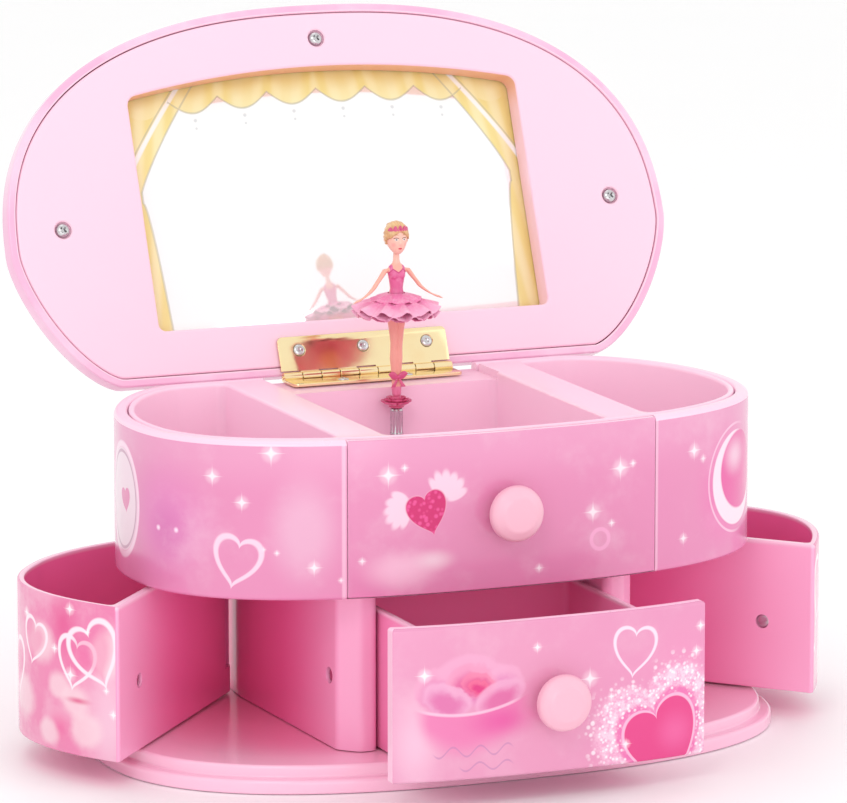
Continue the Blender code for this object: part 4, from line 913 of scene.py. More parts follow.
def build_top_tray():
    profile = rounded_profile([(-20, 59.8), (-4.5, 59.8), (-4.5, RIM), (-5.4, RIM)], [0, 0.6, 0.7, 0], 5)
    rings = [level(case_outline(d, 360), z) for d, z in profile]
    tray = make("insert_body", Shape().loft(rings), [light])
    cutters = [hollow(well_outline(kind), 63.0, RIM, 0.95, 2.2) for kind in ("left", "centre", "right")]
    cutters.append(block(rectangle(-36.6, 32.0, 36.6, 60.0), 102.5, 112.0))
    cutters.append(drill((0, DANCER_Y, 0), 3.6, 58, 70))
    carve(tray, *cutters)
    seat(tray, "case", ["top_tray"])


# ---------------------------------------------------------------- drawer and side trays


def build_drawer():
    line = fillet(rectangle(-36.4, -52.3, 36.4, 11.5), 1.6)
    tub = prism("drawer_tub", line, 8.5, 51.0, [drawer_pink], 0.5)
    room = fillet(rectangle(-34.4, -50.3, 34.4, 9.5), 1.8)
    carve(tub, hollow(room, 10.5, 51.0, 0.6, 1.6), drill((0, 0, DRAWER_KNOB_Z), 3.0, -60, -46, "Y"))
    seat(tub, "drawer", ["drawer_box"], DRAWER)
    front = plate("drawer_plate", 50.3, 3.5, 8.8, 55.2, drawer_print, 1.0)
    seat(front, "drawer", ["drawer_front"], DRAWER)
    build_knob("drawer_pull", DRAWER_KNOB_Z, "drawer", ["drawer_knob"], DRAWER)


def tray_outline():
    """The right-hand tray, shut, anticlockwise from its front inner corner."""
    edge = [p for p in offset(case_line(), -1.2) if p[0] > TRAY_SIDE]
    edge.sort(key=lambda p: math.atan2(p[1], p[0]))
    high = PIVOT_Y + PIVOT_X - TRAY_SIDE
    curve = [p for p in edge if p[1] < high or p[0] > 90.0]
    curve = resample([(TRAY_SIDE, curve[0][1] + 0.02)] + curve, 120, closed=False)
    radius = PIVOT_X - TRAY_SIDE
    arc = [math.radians(90 + 9 * step) for step in range(11)]
    barrel = [(PIVOT_X + radius * math.cos(a), PIVOT_Y + radius * math.sin(a)) for a in arc]
    first = fillet([barrel[-1], curve[0], curve[2]], [0, 1.1, 0], 6, closed=False)[1:-1]
    return first + curve[3:] + barrel


def tray_hollow():
    wall = 2.2
    edge = [p for p in offset(case_line(), -1.2 - wall) if p[0] > TRAY_SIDE + wall]
    edge.sort(key=lambda p: math.atan2(p[1], p[0]))
    high = PIVOT_Y + PIVOT_X - TRAY_SIDE - wall
    curve = resample([p for p in edge if p[1] < high or p[0] > 90.0], 100, closed=False)
    corner = [(PIVOT_X + 5.0, curve[-1][1]), (PIVOT_X + 5.0, PIVOT_Y - 1.0),
              (TRAY_SIDE + wall, PIVOT_Y - 6.5)]
    start = fillet([corner[-1], curve[0], curve[2]], [0, 1.2, 0], 5, closed=False)
    end = fillet([curve[-3], *corner, curve[0]], [0, 1.5, 2.0, 3.0, 0], 5, closed=False)
    return start[1:-1] + curve[3:-2] + end[1:-1]


def stud(name, profile, side, body, node, place=None):
    """A small steel stud across the wall between the tray and the case."""
    shape = Shape().turned([(r, side * x) for r, x in profile], 32, centre=STUD, axis="X")
    seat(make(name, shape, [steel]), body, [node], place)


def build_tray(side, word):
    points = tray_outline()
    count = len(points)
    spans = [(d, 8.6 + rise) for d, rise in rounding(0.7, 4)]
    spans += [(d, 64.4 - z) for d, z in reversed(spans)]
    along = distances(np.array(points)).tolist()
    rings = [[(side * x, y, z) for x, y in offset(points, d)] for d, z in spans]
    shape = Shape().loft(rings, 0, lambda r, i: (along[i % count], spans[r][1]))
    for index in range((len(spans) - 1) * count):
        shape.looks[index] = int(4 < index % count < 118)  # the print is on the curved front only
    tray = make(f"side_tray_{word}", shape, [tray_pink, tray_prints[side]])
    room = tray_hollow() if side > 0 else mirrored(tray_hollow())
    carve(tray, hollow(room, 10.8, 55.8, 0.5, 1.4), drill((side * PIVOT_X, PIVOT_Y, 0), 1.5, 0, 70, sides=24),
          drill((side * 52.6, 41.8, 0), 3.6, 17, 48), drill(STUD, 2.2, side * 47, side * 54.5, "X"))
    place = tray_place(side)
    seat(tray, f"tray_{word}", [f"tray_{word}"], place)
    profile = ((0.01, 51.3), (1.2, 51.25), (1.9, 51.5), (2.1, 51.9), (2.1, 52.8), (0.01, 52.8))
    stud(f"stud_tray_{word}", profile, side, f"tray_{word}", f"tray_{word}_catch", place)
    profile = ((0.01, 46.1), (2.1, 46.1), (2.1, 47.6), (1.6, 48.05), (0.01, 48.15))
    stud(f"stud_case_{word}", profile, side, "case", f"case_catch_{word}")
    pin = Shape().turned([(0.9, 5.4), (1.2, 5.7), (1.2, 58.2), (0.9, 58.5)], 32,
                         centre=(side * PIVOT_X, PIVOT_Y, 0))
    seat(make(f"pivot_{word}", pin, [steel]), "case", [f"tray_pin_{word}"])


# ---------------------------------------------------------------- screws, hinge and lid


def screw(name, radius, shaft, length, point, direction, body, node, place=None, dome=1.0):
    """A domed cross-head screw. The direction points out of its head."""
    head = [(0.01, 0.62), (0.45, 0.6), (0.8, 0.46), (0.97, 0.2), (1.0, 0.0), (0.95, -0.08)]
    profile = [(r * radius, h * radius * dome) for r, h in head]
    profile += [(shaft, -0.1 * radius), (shaft, 0.5 - length), (0.2, -length)]
    made = make(name, Shape().turned(profile, 40), [steel])
    cross = []
    for c, s in ((1.0, 0.0), (0.0, 1.0)):
        rings = []
        for scale, z in ((0.35, 0.12 * radius * dome), (1.0, 0.7 * radius * dome)):
            wide, deep = radius * 0.56 * scale, radius * 0.13
            rings.append([(x * c - y * s, x * s + y * c, z) for x, y in rectangle(-wide, -deep, wide, deep)])
        cross.append(make("cross", Shape().loft(rings)))
    carve(made, *cross)
    spin = Matrix.Rotation(0.7 + 1.3 * len(name), 4, "Z")
    aim = Vector((0, 0, 1)).rotation_difference(Vector(direction)).to_matrix().to_4x4()
    made.data.transform(Matrix.Translation(Vector(point) * MM) @ aim @ spin)
    seat(made, body, [node], place)


def build_screws():
    up, down = (0, 0, 1), (0, 0, -1)
    for i, (x, v) in enumerate(LID_SCREWS, 1):
        screw(f"lid_screw_{i}", 2.3, 1.0, 6.5, (x, -v, 3.0), down, "lid", f"lid_panel_screw_{i}", LID)
    for i, (x, y) in enumerate(LEAF_SCREWS, 1):
        screw(f"leaf_screw_{i}", 1.85, 0.8, 4.6, (x, y, 0.62), down, "lid", f"hinge_lid_screw_{i}", LID, 0.45)
    for i, (x, y) in enumerate(RIM_SCREWS, 1):
        screw(f"rim_screw_{i}", 1.85, 0.8, 4.6, (x, HINGE_Y + y, HINGE_Z - 0.62), up, "case",
              f"hinge_case_screw_{i}", dome=0.45)
    for i, (x, y) in enumerate(FOOT_SCREWS, 1):
        screw(f"foot_screw_{i}", 2.8, 1.2, 11.0, (x, y, 2.4), down, "case", f"base_screw_{i}")
    screw("middle_pull_screw", 2.5, 1.0, 7.2, (0, -55.9, MIDDLE_KNOB_Z), (0, 1, 0), "case",
          "middle_knob_screw")
    screw("drawer_pull_screw", 2.5, 1.0, 8.0, (0, -53.0, DRAWER_KNOB_Z), (0, 1, 0), "drawer",
          "drawer_knob_screw", DRAWER)
    for i, x in enumerate((-26, 26), 1):
        screw(f"bed_screw_{i}", 2.3, 0.9, 5.8, (x, 20, 11.6), up, "case", f"movement_screw_{i}")


def build_leaf(name, first, far, low, high, holes, body, node, place):
    """A hinge leaf with rolled knuckles, drawn about the pin: -Y runs away from it."""
    line = fillet(rectangle(-28.5, -0.6, 28.5, -far), [0.4, 0.4, 1.6, 1.6])
    leaf = prism(name, line[::-1], low, high, [brass], 0.1, 2)
    outer, out = (high, 1) if low < 0 else (low, -1)
    seats = ((1.0, -2.0), (1.0, -0.75), (2.15, -0.05), (2.15, 2.0))
    cutters = [bore([(r, outer + out * z) for r, z in seats], centre=(x, y, 0)) for x, y in holes]
    width, gap = 57.2 / 9, 0.12
    rolls = Shape()
    for index in range(9):
        x0, x1 = -28.6 + index * width, -28.6 + (index + 1) * width
        if index % 2 != first:
            cutters.append(block(rectangle(x0 - gap, -2.1, x1 + gap, 1), -3, 3))
            continue
        x0, x1 = x0 + gap, x1 - gap
        ring = [(0.72, x0), (1.35, x0), (1.5, x0 + 0.15), (1.5, x1 - 0.15), (1.35, x1), (0.72, x1)]
        rolls.turned(ring, 40, axis="X", loop=True)
    carve(leaf, *cutters)
    for piece, nodes in ((leaf, [node]), (make(f"{name}_rolls", rolls, [brass]), [])):
        seat(piece, body, nodes, place)


def build_hinge():
    build_leaf("hinge_on_case", 0, 9.6, -1.42, -0.5, RIM_SCREWS, "case", "hinge_leaf_case", HINGE)
    build_leaf("hinge_on_lid", 1, 13.0, 0.5, 1.42, LEAF_SCREWS, "lid", "hinge_leaf_lid", LID)
    end = [(0.65, 28.4), (0.62, 28.7), (0.3, 28.9)]
    pin = Shape().turned([(r, -x) for r, x in reversed(end)] + end, 32, axis="X")
    seat(make("hinge_rod", pin, [brass]), "case", ["hinge_pin"], HINGE)


def window_line(grow=0.0):
    """The mirror's window, away from the hinge along -Y: rounded corners and an arched far edge."""
    half, low, high, radius = WINDOW_HALF + grow, WINDOW_LOW - grow, WINDOW_HIGH + grow, 3.4
    arch = [(float(x), high + WINDOW_ARCH * (1 - (x / half) ** 2)) for x in np.linspace(half, -half, 41)]
    line = [(-half, low), (half, low), arch[0]]
    line += [p for p in arch if abs(p[0]) < half - radius - 1.5] + [arch[-1]]
    radii = [2.2, 2.2, radius] + [0] * (len(line) - 4) + [radius]
    return [(x, -v) for x, v in fillet(line, radii, 7)][::-1]


def flat_print(shape):
    """Print coordinates straight from the lid's plane."""
    shape.prints = [[(shape.points[c][0], -shape.points[c][1]) for c in corners] for corners in shape.faces]
    return shape


def build_lid():
    profile = rounded_profile([(-12.0, 13.1), (-6.5, 12.6), (-2.6, 9.5), (-2.6, 1.8), (0, 1.8), (0, 8.5),
                               (-3.4, 13.6), (-14.0, 15.3)], [0, 2.5, 3.0, 0.5, 0.7, 6.0, 8.0, 0], 8)
    rings = [lid_ring(d, t) for d, t in profile + [(-DEEP_INSET, 15.3)]]
    looks = [int(i < 27) for i in range(len(rings) - 1)]  # plain pink inside and round the rim's edge
    shell = make("lid_dome", flat_print(Shape().loft(rings, looks, cap_looks=(1, 0))), [lid_print, lid_pink])
    seat(shell, "lid", ["lid_shell"], LID)

    profile = rounded_profile([(-30, 1.9), (-2.9, 1.9), (-2.9, 4.4), (-30, 4.4)], [0, 0.7, 0, 0], 5)
    panel = make("lid_face", Shape().loft([lid_ring(max(d, -8.0), t) for d, t in profile]), [lid_pink])
    collar = window_line(1.6)
    carve(panel, block(collar, 3.0, 9.3, "collar", [lid_pink]), operation="UNION")
    spans = [(0.9, 0.0), (0.9, 1.9)] + [(-d, 1.9 + rise) for d, rise in rounding(0.9, 5)] + [(0.0, 12.0)]
    window = window_line()
    opening = Shape().loft([level(offset(window, d), t) for d, t in spans], [0] * 6 + [1] * 2)
    seats = [bore([(3.3, 0.0), (3.1, 1.9), (2.75, 2.2), (2.75, 3.3), (1.4, 3.4), (1.4, 9.0)], 40, (x, -v, 0))
             for x, v in LID_SCREWS]
    carve(panel, make("opening", opening, [lid_pink, reveal]), *seats)
    seat(panel, "lid", ["lid_panel"], LID)

    spans = ((-0.4, 9.6), (0, 9.9), (0, 11.1), (-0.4, 11.4))
    glass = flat_print(Shape().loft([level(offset(collar, d), t) for d, t in spans]))
    seat(make("mirror_plate", glass, [mirror]), "lid", ["lid_mirror"], LID)


# ---------------------------------------------------------------- the dancer

FEET = 100.6  # the figure's lowest point; heights below are from here


def doll_paint():
    """Skin, tights, bodice, slippers and face, laid on by position."""
    paint = Paint("doll", 0.36, Subsurface_Weight=0.0, Coat_Weight=0.15, Coat_Roughness=0.2)
    paint.base((0.90, 0.45, 0.35))
    x, y, z = paint.at()
    y, z = y - DANCER_Y, z - FEET
    paint.over((0.84, 0.34, 0.27), paint.noise(160.0, 3.0).ramp(0.4, 0.8) * 0.35)
    paint.over((0.93, 0.56, 0.45), z.ramp(41.0, 43.0))
    front = y.ramp(0.5, -0.6)
    across = abs(x)
    neck = (across * 0.7 + 39.0).low((across * -1.0) + 41.8)
    bodice = (z - neck).ramp(0.12, -0.12) * z.ramp(26.0, 27.0) * across.ramp(4.1, 3.7)
    strap = abs(across - 2.05).ramp(0.55, 0.4) * z.ramp(37.5, 38.2) * z.ramp(42.0, 41.0)
    back = z.ramp(38.8, 38.4) * y.ramp(0.2, 0.8) * z.ramp(26.0, 27.0) * across.ramp(4.1, 3.7)
    cloth = (bodice * front).top(strap).top(back)
    paint.over((0.74, 0.13, 0.32), cloth)
    paint.over((0.86, 0.32, 0.50), (paint.noise(700.0, 4.0).ramp(0.45, 0.7) * cloth) * 0.4)
    hem = outline_of(z - neck, 0.35) * front * z.ramp(36.0, 37.0) * across.ramp(3.2, 3.0)
    paint.over((0.58, 0.05, 0.20), hem)
    paint.over((0.80, 0.20, 0.36), z.ramp(3.4, 3.0))
    paint.over((0.90, 0.36, 0.30), (z.ramp(28.0, 24.0) * z.ramp(4.0, 6.0)) * 0.35)
    # the face, towards -Y
    face = y.ramp(-1.6, -2.2) * z.ramp(44.8, 45.4)
    eye = (square(across - 1.28) * 1.7 + square(z - 49.6) * 3.4).root()
    paint.over((0.95, 0.86, 0.82), eye.ramp(0.75, 0.6) * face)
    paint.over((0.10, 0.05, 0.07), eye.ramp(0.46, 0.34) * face)
    lash = abs(z - 50.15 + square(across - 1.28) * 0.3)
    paint.over((0.20, 0.07, 0.05), lash.ramp(0.17, 0.08) * abs(across - 1.3).ramp(0.85, 0.7) * face)
    brow = abs(z - 51.1 + square(across - 1.35) * 0.28)
    paint.over((0.55, 0.26, 0.12), brow.ramp(0.17, 0.08) * abs(across - 1.4).ramp(0.85, 0.65) * face * 0.8)
    mouth = (square(x) * 1.3 + square(z - 46.75) * 7.0).root()
    paint.over((0.72, 0.06, 0.10), mouth.ramp(0.85, 0.62) * face)
    blush = length(across - 2.0, z - 48.0)
    paint.over((0.93, 0.30, 0.28), blush.ramp(1.0, 0.2) * face * 0.45)
    paint.relief(paint.noise(1400.0, 3.0), 0.03, 0.3)
    return paint.done(0.05, 200.0)


def hair_paint():
    paint = Paint("doll_hair", 0.38, Coat_Weight=0.2)
    paint.base((0.80, 0.50, 0.24))
    strands = paint.noise(1.0, 4.0, 0.6, stretch=(1600.0, 220.0, 260.0))
    paint.over((0.60, 0.30, 0.12), strands.ramp(0.35, 0.6) * 0.8)
    paint.over((0.93, 0.70, 0.42), paint.noise(240.0, 2.0).ramp(0.5, 0.8) * 0.6)
    paint.relief(strands, 0.12, 0.6)
    return paint.done(0.08, 300.0)


def tutu_paint():
    paint = Paint("tulle", 0.42, Coat_Weight=0.3, Coat_Roughness=0.25)
    paint.base((0.83, 0.20, 0.42))
    x, y, z = paint.at()
    y, z = y - DANCER_Y, z - FEET
    far = length(x, y)
    paint.over((0.92, 0.46, 0.64), far.ramp(8.0, 13.0) * 0.8)
    paint.over((0.70, 0.08, 0.26), z.ramp(26.3, 25.2) * 0.6)
    paint.over((0.93, 0.55, 0.70), (paint.noise(520.0, 4.0, 0.7).ramp(0.45, 0.7)) * 0.45)
    paint.relief(paint.cells(900.0), 0.06, 0.5)
    return paint.done(0.06, 200.0)


def magenta_paint():
    paint = plastic("magenta", (0.66, 0.09, 0.22), 0.3, (0.52, 0.05, 0.16))
    paint.over((0.80, 0.24, 0.38), paint.noise(300.0, 3.0).ramp(0.5, 0.75) * 0.5)
    return paint.done()


magenta = magenta_paint()


def tube(shape, stations, sides=20):
    """A limb through stations (x, y, z, radius across, radius in depth)."""
    return shape.loft([[(x + rx * math.cos(a), y + ry * math.sin(a), FEET + z) for a in turns(sides)]
                       for x, y, z, rx, ry in stations])


def ball(shape, centre, rx, ry, rz, steps=14):
    x, y, z = centre
    ups = [math.pi * step / steps for step in range(steps + 1)]
    return tube(shape, [(x, y, z - rz * math.cos(up), max(0.01, rx * math.sin(up)),
                         max(0.01, ry * math.sin(up))) for up in ups])


def build_figure():
    """Legs, chest, arms, hands, trunk, head and nose as tubes and balls, then one skin over them."""
    body = Shape()
    for side in (-1, 1):
        tube(body, [(side * x, y, z, rx, ry) for x, y, z, rx, ry in (
            (0.5, -0.1, 0.0, 0.5, 0.9), (0.55, -0.1, 0.5, 0.75, 1.2), (0.62, 0, 2.4, 0.92, 1.25),
            (0.68, 0.1, 5.0, 0.80, 0.95), (0.74, 0.15, 8.5, 0.98, 1.1), (0.82, 0.25, 12.0, 1.22, 1.4),
            (0.82, 0.1, 15.0, 1.12, 1.25), (0.84, -0.1, 17.0, 1.12, 1.25), (1.0, 0, 21.0, 1.42, 1.6),
            (1.35, 0, 25.5, 1.78, 2.0), (1.6, 0.1, 28.5, 1.9, 2.2))])
        ball(body, (side * 1.2, -1.15, 38.2), 1.25, 1.2, 1.3)
        tube(body, [(side * x, y, z, r, r) for x, y, z, r in (
            (2.2, 0.1, 40.2, 0.8), (3.4, 0.1, 40.0, 1.05), (4.3, 0.0, 38.9, 0.95), (5.4, -0.1, 37.4, 0.86),
            (6.7, -0.25, 35.8, 0.78), (7.7, -0.4, 34.4, 0.80), (9.2, -0.7, 33.1, 0.72),
            (11.0, -0.95, 31.9, 0.56), (12.2, -1.05, 31.3, 0.52))])
        tube(body, [(side * x, y, z, rx, ry) for x, y, z, rx, ry in (
            (11.8, -1.0, 31.6, 0.45, 0.45), (12.7, -1.15, 31.15, 0.8, 0.62), (13.4, -1.25, 30.8, 0.9, 0.62),
            (14.1, -1.3, 30.45, 0.6, 0.42), (14.7, -1.3, 30.15, 0.25, 0.25))])
        for reach, drop in ((-0.45, 0.1), (0.0, 0.0), (0.42, -0.05)):
            spread = -1.4 + reach * 1.2
            tube(body, [(side * 13.6, -1.3 + reach, 30.8 + drop, 0.3, 0.2),
                        (side * 14.6, spread, 30.25 + drop, 0.26, 0.19),
                        (side * 15.2, spread, 29.95 + drop, 0.12, 0.1)], 10)
    tube(body, [(0, y, z, rx, ry) for y, z, rx, ry in (
        (0.1, 25.6, 1.4, 1.4), (0.15, 27.2, 3.1, 2.6), (0.15, 29.5, 3.1, 2.5), (0.05, 32.0, 2.5, 2.0),
        (0, 34.0, 2.08, 1.7), (0, 36.2, 2.4, 1.85), (0, 38.4, 2.85, 2.0), (0.05, 39.8, 3.1, 1.8),
        (0.1, 40.9, 2.5, 1.4), (0.1, 41.8, 1.35, 1.15), (0.1, 43.0, 1.0, 1.0), (0.0, 46.0, 0.95, 1.0))])
    tube(body, [(0, y, z, rx, ry) for y, z, rx, ry in (
        (-1.2, 44.75, 0.3, 0.3), (-1.15, 44.95, 0.95, 0.9), (-0.9, 45.5, 1.6, 1.7), (-0.5, 46.4, 2.35, 2.6),
        (-0.2, 47.6, 2.95, 3.25), (0, 49.2, 3.35, 3.6), (0.1, 51.0, 3.45, 3.65), (0.2, 52.7, 3.0, 3.2),
        (0.3, 54.0, 1.9, 2.1), (0.35, 54.55, 0.5, 0.6))], 28)
    tube(body, [(0, y, z, rx, ry) for y, z, rx, ry in (
        (-3.45, 47.9, 0.1, 0.1), (-3.5, 48.1, 0.38, 0.42), (-3.5, 48.5, 0.34, 0.34),
        (-3.4, 49.6, 0.2, 0.15))], 12)
    figure = make("doll_body", body, [doll_paint()])
    step = figure.modifiers.new("join", "REMESH")
    step.mode, step.voxel_size = "VOXEL", 0.2 * MM
    smooth = figure.modifiers.new("soften", "SMOOTH")
    smooth.factor, smooth.iterations = 0.5, 4
    apply(figure)
    figure.data.materials.clear()
    figure.data.materials.append(bpy.data.materials["doll"])
    figure.data.shade_smooth()
    seat(figure, "dancer", ["dancer_figure"], DANCER)


def build_hair():
    """A close cap with a hairline and waves, and a bun behind."""
    shape = Shape()
    rings = []
    for up in (math.pi * step / 36 for step in range(37)):
        ring = []
        for turn in turns(72):
            dx, dy, dz = math.sin(up) * math.cos(turn), math.sin(up) * math.sin(turn), math.cos(up)
            line = 0.36 - 0.62 * max(0.0, abs(dx)) ** 1.5  # over the forehead and down the sides
            hidden = dy < -0.1 and dz < line or dz < -0.55
            wave = 0.12 * math.sin(26 * math.atan2(dx, dz + 0.4) + 3 * dy)
            grow = -0.55 if hidden else 0.42 + wave
            ring.append(((3.5 + grow) * dx, 0.15 + (3.75 + grow) * dy, FEET + 50.2 + (4.35 + grow) * dz))
        rings.append(ring)
    shape.loft(rings[::-1])
    start, bun = len(shape.points), 52.3
    ball(shape, (0, 3.7, bun), 1.9, 1.7, 1.9, 18)
    for index in range(start, len(shape.points)):
        x, y, z = shape.points[index]
        rise = z - FEET - bun
        swell = 1 + 0.06 * math.sin(5 * math.atan2(rise, x) + 4.4 * math.hypot(x, rise))
        shape.points[index] = (x * swell, y, FEET + bun + rise * swell)
    seat(make("doll_hair", shape, [hair_paint()], 60), "dancer", place=DANCER)


def build_tiara():
    crown, size = Shape(), 3.35
    rings = []
    for share in (step / 60 for step in range(61)):
        turn = math.radians(-158 + 136 * share)
        c, s = math.cos(turn), math.sin(turn)
        high = 0.45 + (0.5 + 0.9 * math.sin(math.pi * share)) * abs(math.sin(5 * math.pi * share)) ** 0.8
        ring = []
        for out, up in ((0, 0), (0.34, 0), (0.38, 0.25), (0.3, high - 0.1), (0.14, high), (0, high - 0.1)):
            reach = size + out - 0.10 * up
            ring.append((reach * c, 0.1 + reach * s, FEET + 52.2 + up))
        rings.append(ring)
    crown.loft(rings)
    ball(crown, (0, -3.75, 53.15), 0.34, 0.3, 0.42, 10)
    seat(make("doll_tiara", crown, [magenta]), "dancer", place=DANCER)


def build_tutu():
    """Four stiff ruffled layers: inner and outer radius and height, lobes, phase and depth of the waves."""
    skirt = Shape()
    layers = ((3.0, 31.2, 13.3, 27.6, 11, 0.0, 0.75, 0.55), (3.2, 29.6, 13.2, 26.2, 13, 0.9, 0.7, 0.5),
              (3.2, 28.4, 11.8, 25.6, 12, 0.4, 0.5, 0.4), (2.75, 32.4, 7.6, 30.4, 9, 0.6, 0.3, 0.35))
    top = [step / 12 for step in range(13)]
    for r0, z0, r1, z1, lobes, phase, wave, ruffle in layers:
        rings = []
        for share, lift in [(t, 0.17) for t in top] + [(1.0, 0.0)] + [(t, -0.17) for t in reversed(top)]:
            ring = []
            for turn in turns(216):
                swing = math.cos(lobes * turn + phase) + 0.35 * math.cos(2 * lobes * turn + phase * 3)
                fine = 0.06 * math.cos(5 * lobes * turn + 2)
                grow = share ** 1.6
                reach = r0 + (r1 - r0) * share + (ruffle * swing + fine) * grow + (0.12 if lift == 0.0 else 0)
                droop = (z1 - z0) * share ** 1.35
                ring.append((reach * math.cos(turn), reach * math.sin(turn),
                             FEET + z0 + droop + (wave * swing + fine) * grow + lift))
            rings.append(ring)
        skirt.loft(rings, loop=True)
    seat(make("doll_tutu", skirt, [tutu_paint()], 70), "dancer", ["dancer_tutu"], DANCER)


def build_bow():
    """The band round the ankles, with two loops, two tails and a knot."""
    bow = Shape()
    tube(bow, [(0, 0.1, z, rx, ry) for z, rx, ry in (
        (5.6, 1.62, 1.2), (5.8, 1.75, 1.32), (6.7, 1.78, 1.36), (6.9, 1.66, 1.26))], 40)
    for side in (-1, 1):
        rings = []
        for t in (step / 14 for step in range(15)):
            wide = 0.18 + 1.05 * math.sin(math.pi * min(1.0, t * 1.02)) ** 0.7
            x, z = side * 3.1 * t, 6.3 + 0.9 * t
            rings.append([(x, -1.35 + 0.34 * math.cos(a), FEET + z + wide * math.sin(a)) for a in turns(16)])
        bow.loft(rings)
        rings = []
        for t in (step / 11 for step in range(12)):
            x, z = side * (0.25 + 1.5 * t), 6.0 - 2.9 * t
            wide, y = 0.3 + 0.45 * t, -1.45 - 0.15 * math.sin(3 * t)
            rings.append([(x + wide * math.cos(a), y + 0.13 * math.sin(a), FEET + z) for a in turns(12)])
        bow.loft(rings)
    ball(bow, (0, -1.6, 6.3), 0.55, 0.42, 0.6, 10)
    seat(make("doll_bow", bow, [magenta]), "dancer", place=DANCER)


def build_flower():
    """The flower that the dancer stands on: three cupped rings of five petals."""
    flower = Shape()
    shares = [step / 9 for step in range(10)]
    for radius, low, high, turn0, cup in ((4.9, 97.0, 98.9, 0.0, 0.55), (4.0, 97.6, 99.7, 0.63, 0.8),
                                          (2.7, 98.2, 100.1, 0.2, 1.0)):
        rings = []
        for share, lift in [(t, 0.0) for t in shares] + [(1.0, 0.22)] + [(t, 0.45) for t in reversed(shares)]:
            ring = []
            for turn in turns(150):
                petal = abs(math.cos(2.5 * (turn + turn0))) ** 0.45
                reach = max(0.05, radius * share * (0.62 + 0.38 * petal))
                ring.append((reach * math.cos(turn), reach * math.sin(turn),
                             low + (high - low) * share ** (1 + cup) * (0.75 + 0.25 * petal) + lift))
            rings.append(ring)
        flower.loft(rings)
    flower.turned([(0.05, 97.0), (1.3, 97.1), (1.6, 98.2), (1.5, 100.2), (1.0, 100.7), (0.05, 100.8)], 32)
    flower.turned([(0.3, 96.9), (1.7, 96.9), (2.4, 97.3), (2.2, 97.9), (0.3, 98.1)], 32)
    seat(make("doll_flower", flower, [magenta], 60), "dancer", ["dancer_flower"], DANCER)


def build_rod():
    """The turned rod under the flower, fluted along its middle."""
    rings = []
    for radius, z, flute in ((0.9, 83.6, 0), (0.9, 88.25, 0), (1.9, 88.3, 0), (2.1, 88.6, 0), (2.1, 89.0, 0),
                             (2.05, 89.2, 1), (2.05, 96.0, 1), (2.1, 96.2, 0), (1.8, 96.7, 0)):
        reaches = [(a, radius - 0.34 * flute * abs(math.cos(5 * a)) ** 0.6) for a in turns(96)]
        rings.append([(reach * math.cos(a), reach * math.sin(a), z) for a, reach in reaches])
    seat(make("doll_post", Shape().loft(rings), [steel], 50), "dancer", ["dancer_rod"], DANCER)


# ---------------------------------------------------------------- CAD nodes kept as they are


def finish_cad_nodes():
    kept = {"dancer_socket": white, "dancer_fold_link": white, "dancer_fold_pin": steel, "movement_bed": cast,
            "movement_barrel": brass, "movement_cylinder": brass, "movement_comb": steel,
            "movement_governor": white, "winding_key": steel}
    for name, look in kept.items():
        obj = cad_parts[name]
        obj.data.materials.clear()
        obj.data.materials.append(look)
        bevel = obj.modifiers.new("edge", "BEVEL")
        bevel.width, bevel.segments, bevel.limit_method = 0.14 * MM, 2, "ANGLE"
        bevel.angle_limit = math.radians(35)
        obj.data.shade_smooth()
        obj.data.set_sharp_from_angle(angle=math.radians(40))


# ---------------------------------------------------------------- the studio


def build_floor():
    paint = Paint("studio_floor", 0.55)
    paint.base((0.99, 0.985, 0.985))
    paint.over((0.96, 0.955, 0.955), paint.noise(6.0, 3.0).ramp(0.4, 0.8) * 0.2)
    size = 4000.0
    mesh = Shape().loft([level(rectangle(-size, -size, size, size), z) for z in (-10.0, -0.15)])
    make("studio_floor", mesh, [paint.done()])


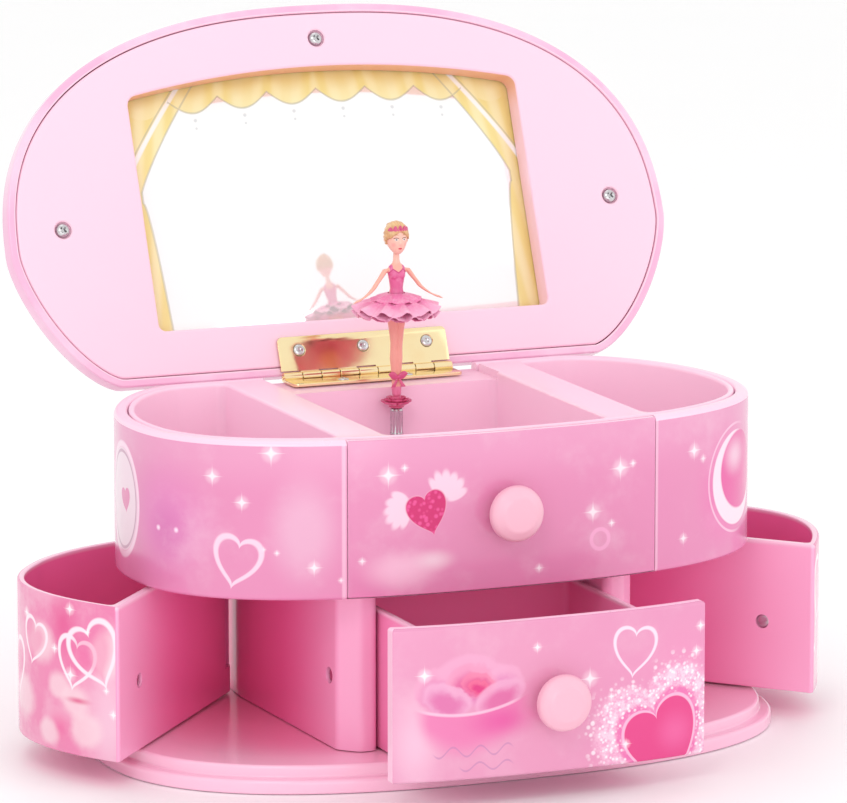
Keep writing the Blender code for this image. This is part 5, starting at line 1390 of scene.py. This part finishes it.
def light_panel(name, place, towards, size, watts, colour=(1, 1, 1)):
    data = bpy.data.lights.new(name, "AREA")
    data.shape, data.size, data.energy, data.color = "DISK", size * MM, watts, colour
    lamp = bpy.data.objects.new(name, data)
    lamp.location = Vector(place) * MM
    aim = (Vector(towards) - Vector(place)).to_track_quat("-Z", "Y")
    lamp.rotation_euler = aim.to_euler()
    bpy.context.scene.collection.objects.link(lamp)


def build_lights():
    world = bpy.data.worlds.new("studio")
    world.use_nodes = True
    sky = world.node_tree.nodes["Background"]
    sky.inputs["Color"].default_value = (1.0, 1.0, 1.0, 1.0)
    sky.inputs["Strength"].default_value = 1.0
    bpy.context.scene.world = world
    light_panel("key", (-650, -900, 950), (0, 0, 90), 420, 1.9, (1.0, 0.98, 0.96))
    light_panel("fill", (900, -700, 420), (0, 0, 80), 700, 0.6, (0.97, 0.98, 1.0))
    light_panel("front", (-260, -1600, 240), (0, 0, 60), 900, 3.2)
    light_panel("top", (0, 250, 1100), (0, 0, 80), 600, 0.5)


def build_camera():
    data = bpy.data.cameras.new("camera")
    data.lens, data.sensor_width, data.clip_end = 255.0, 36.0, 20.0
    camera = bpy.data.objects.new("camera", data)
    yaw, pitch = math.radians(-22.83), math.radians(10.57)
    camera.location = Vector((-702.35, -1661.99, 440.39)) * MM
    back = Vector((math.sin(yaw) * math.cos(pitch), -math.cos(yaw) * math.cos(pitch), math.sin(pitch)))
    camera.rotation_euler = (-back).to_track_quat("-Z", "Y").to_euler()
    bpy.context.scene.collection.objects.link(camera)
    bpy.context.scene.camera = camera
    bpy.context.scene.view_settings.view_transform = "Standard"


build_base()
build_lower_frame()
build_middle_shell()
build_middle_front()
build_knob("middle_pull", MIDDLE_KNOB_Z, "case", ["middle_knob"])
build_top_tray()
build_drawer()
build_tray(-1, "left")
build_tray(1, "right")
build_screws()
build_hinge()
build_lid()
build_figure()
build_hair()
build_tiara()
build_tutu()
build_bow()
build_flower()
build_rod()
finish_cad_nodes()
build_floor()
build_lights()
build_camera()
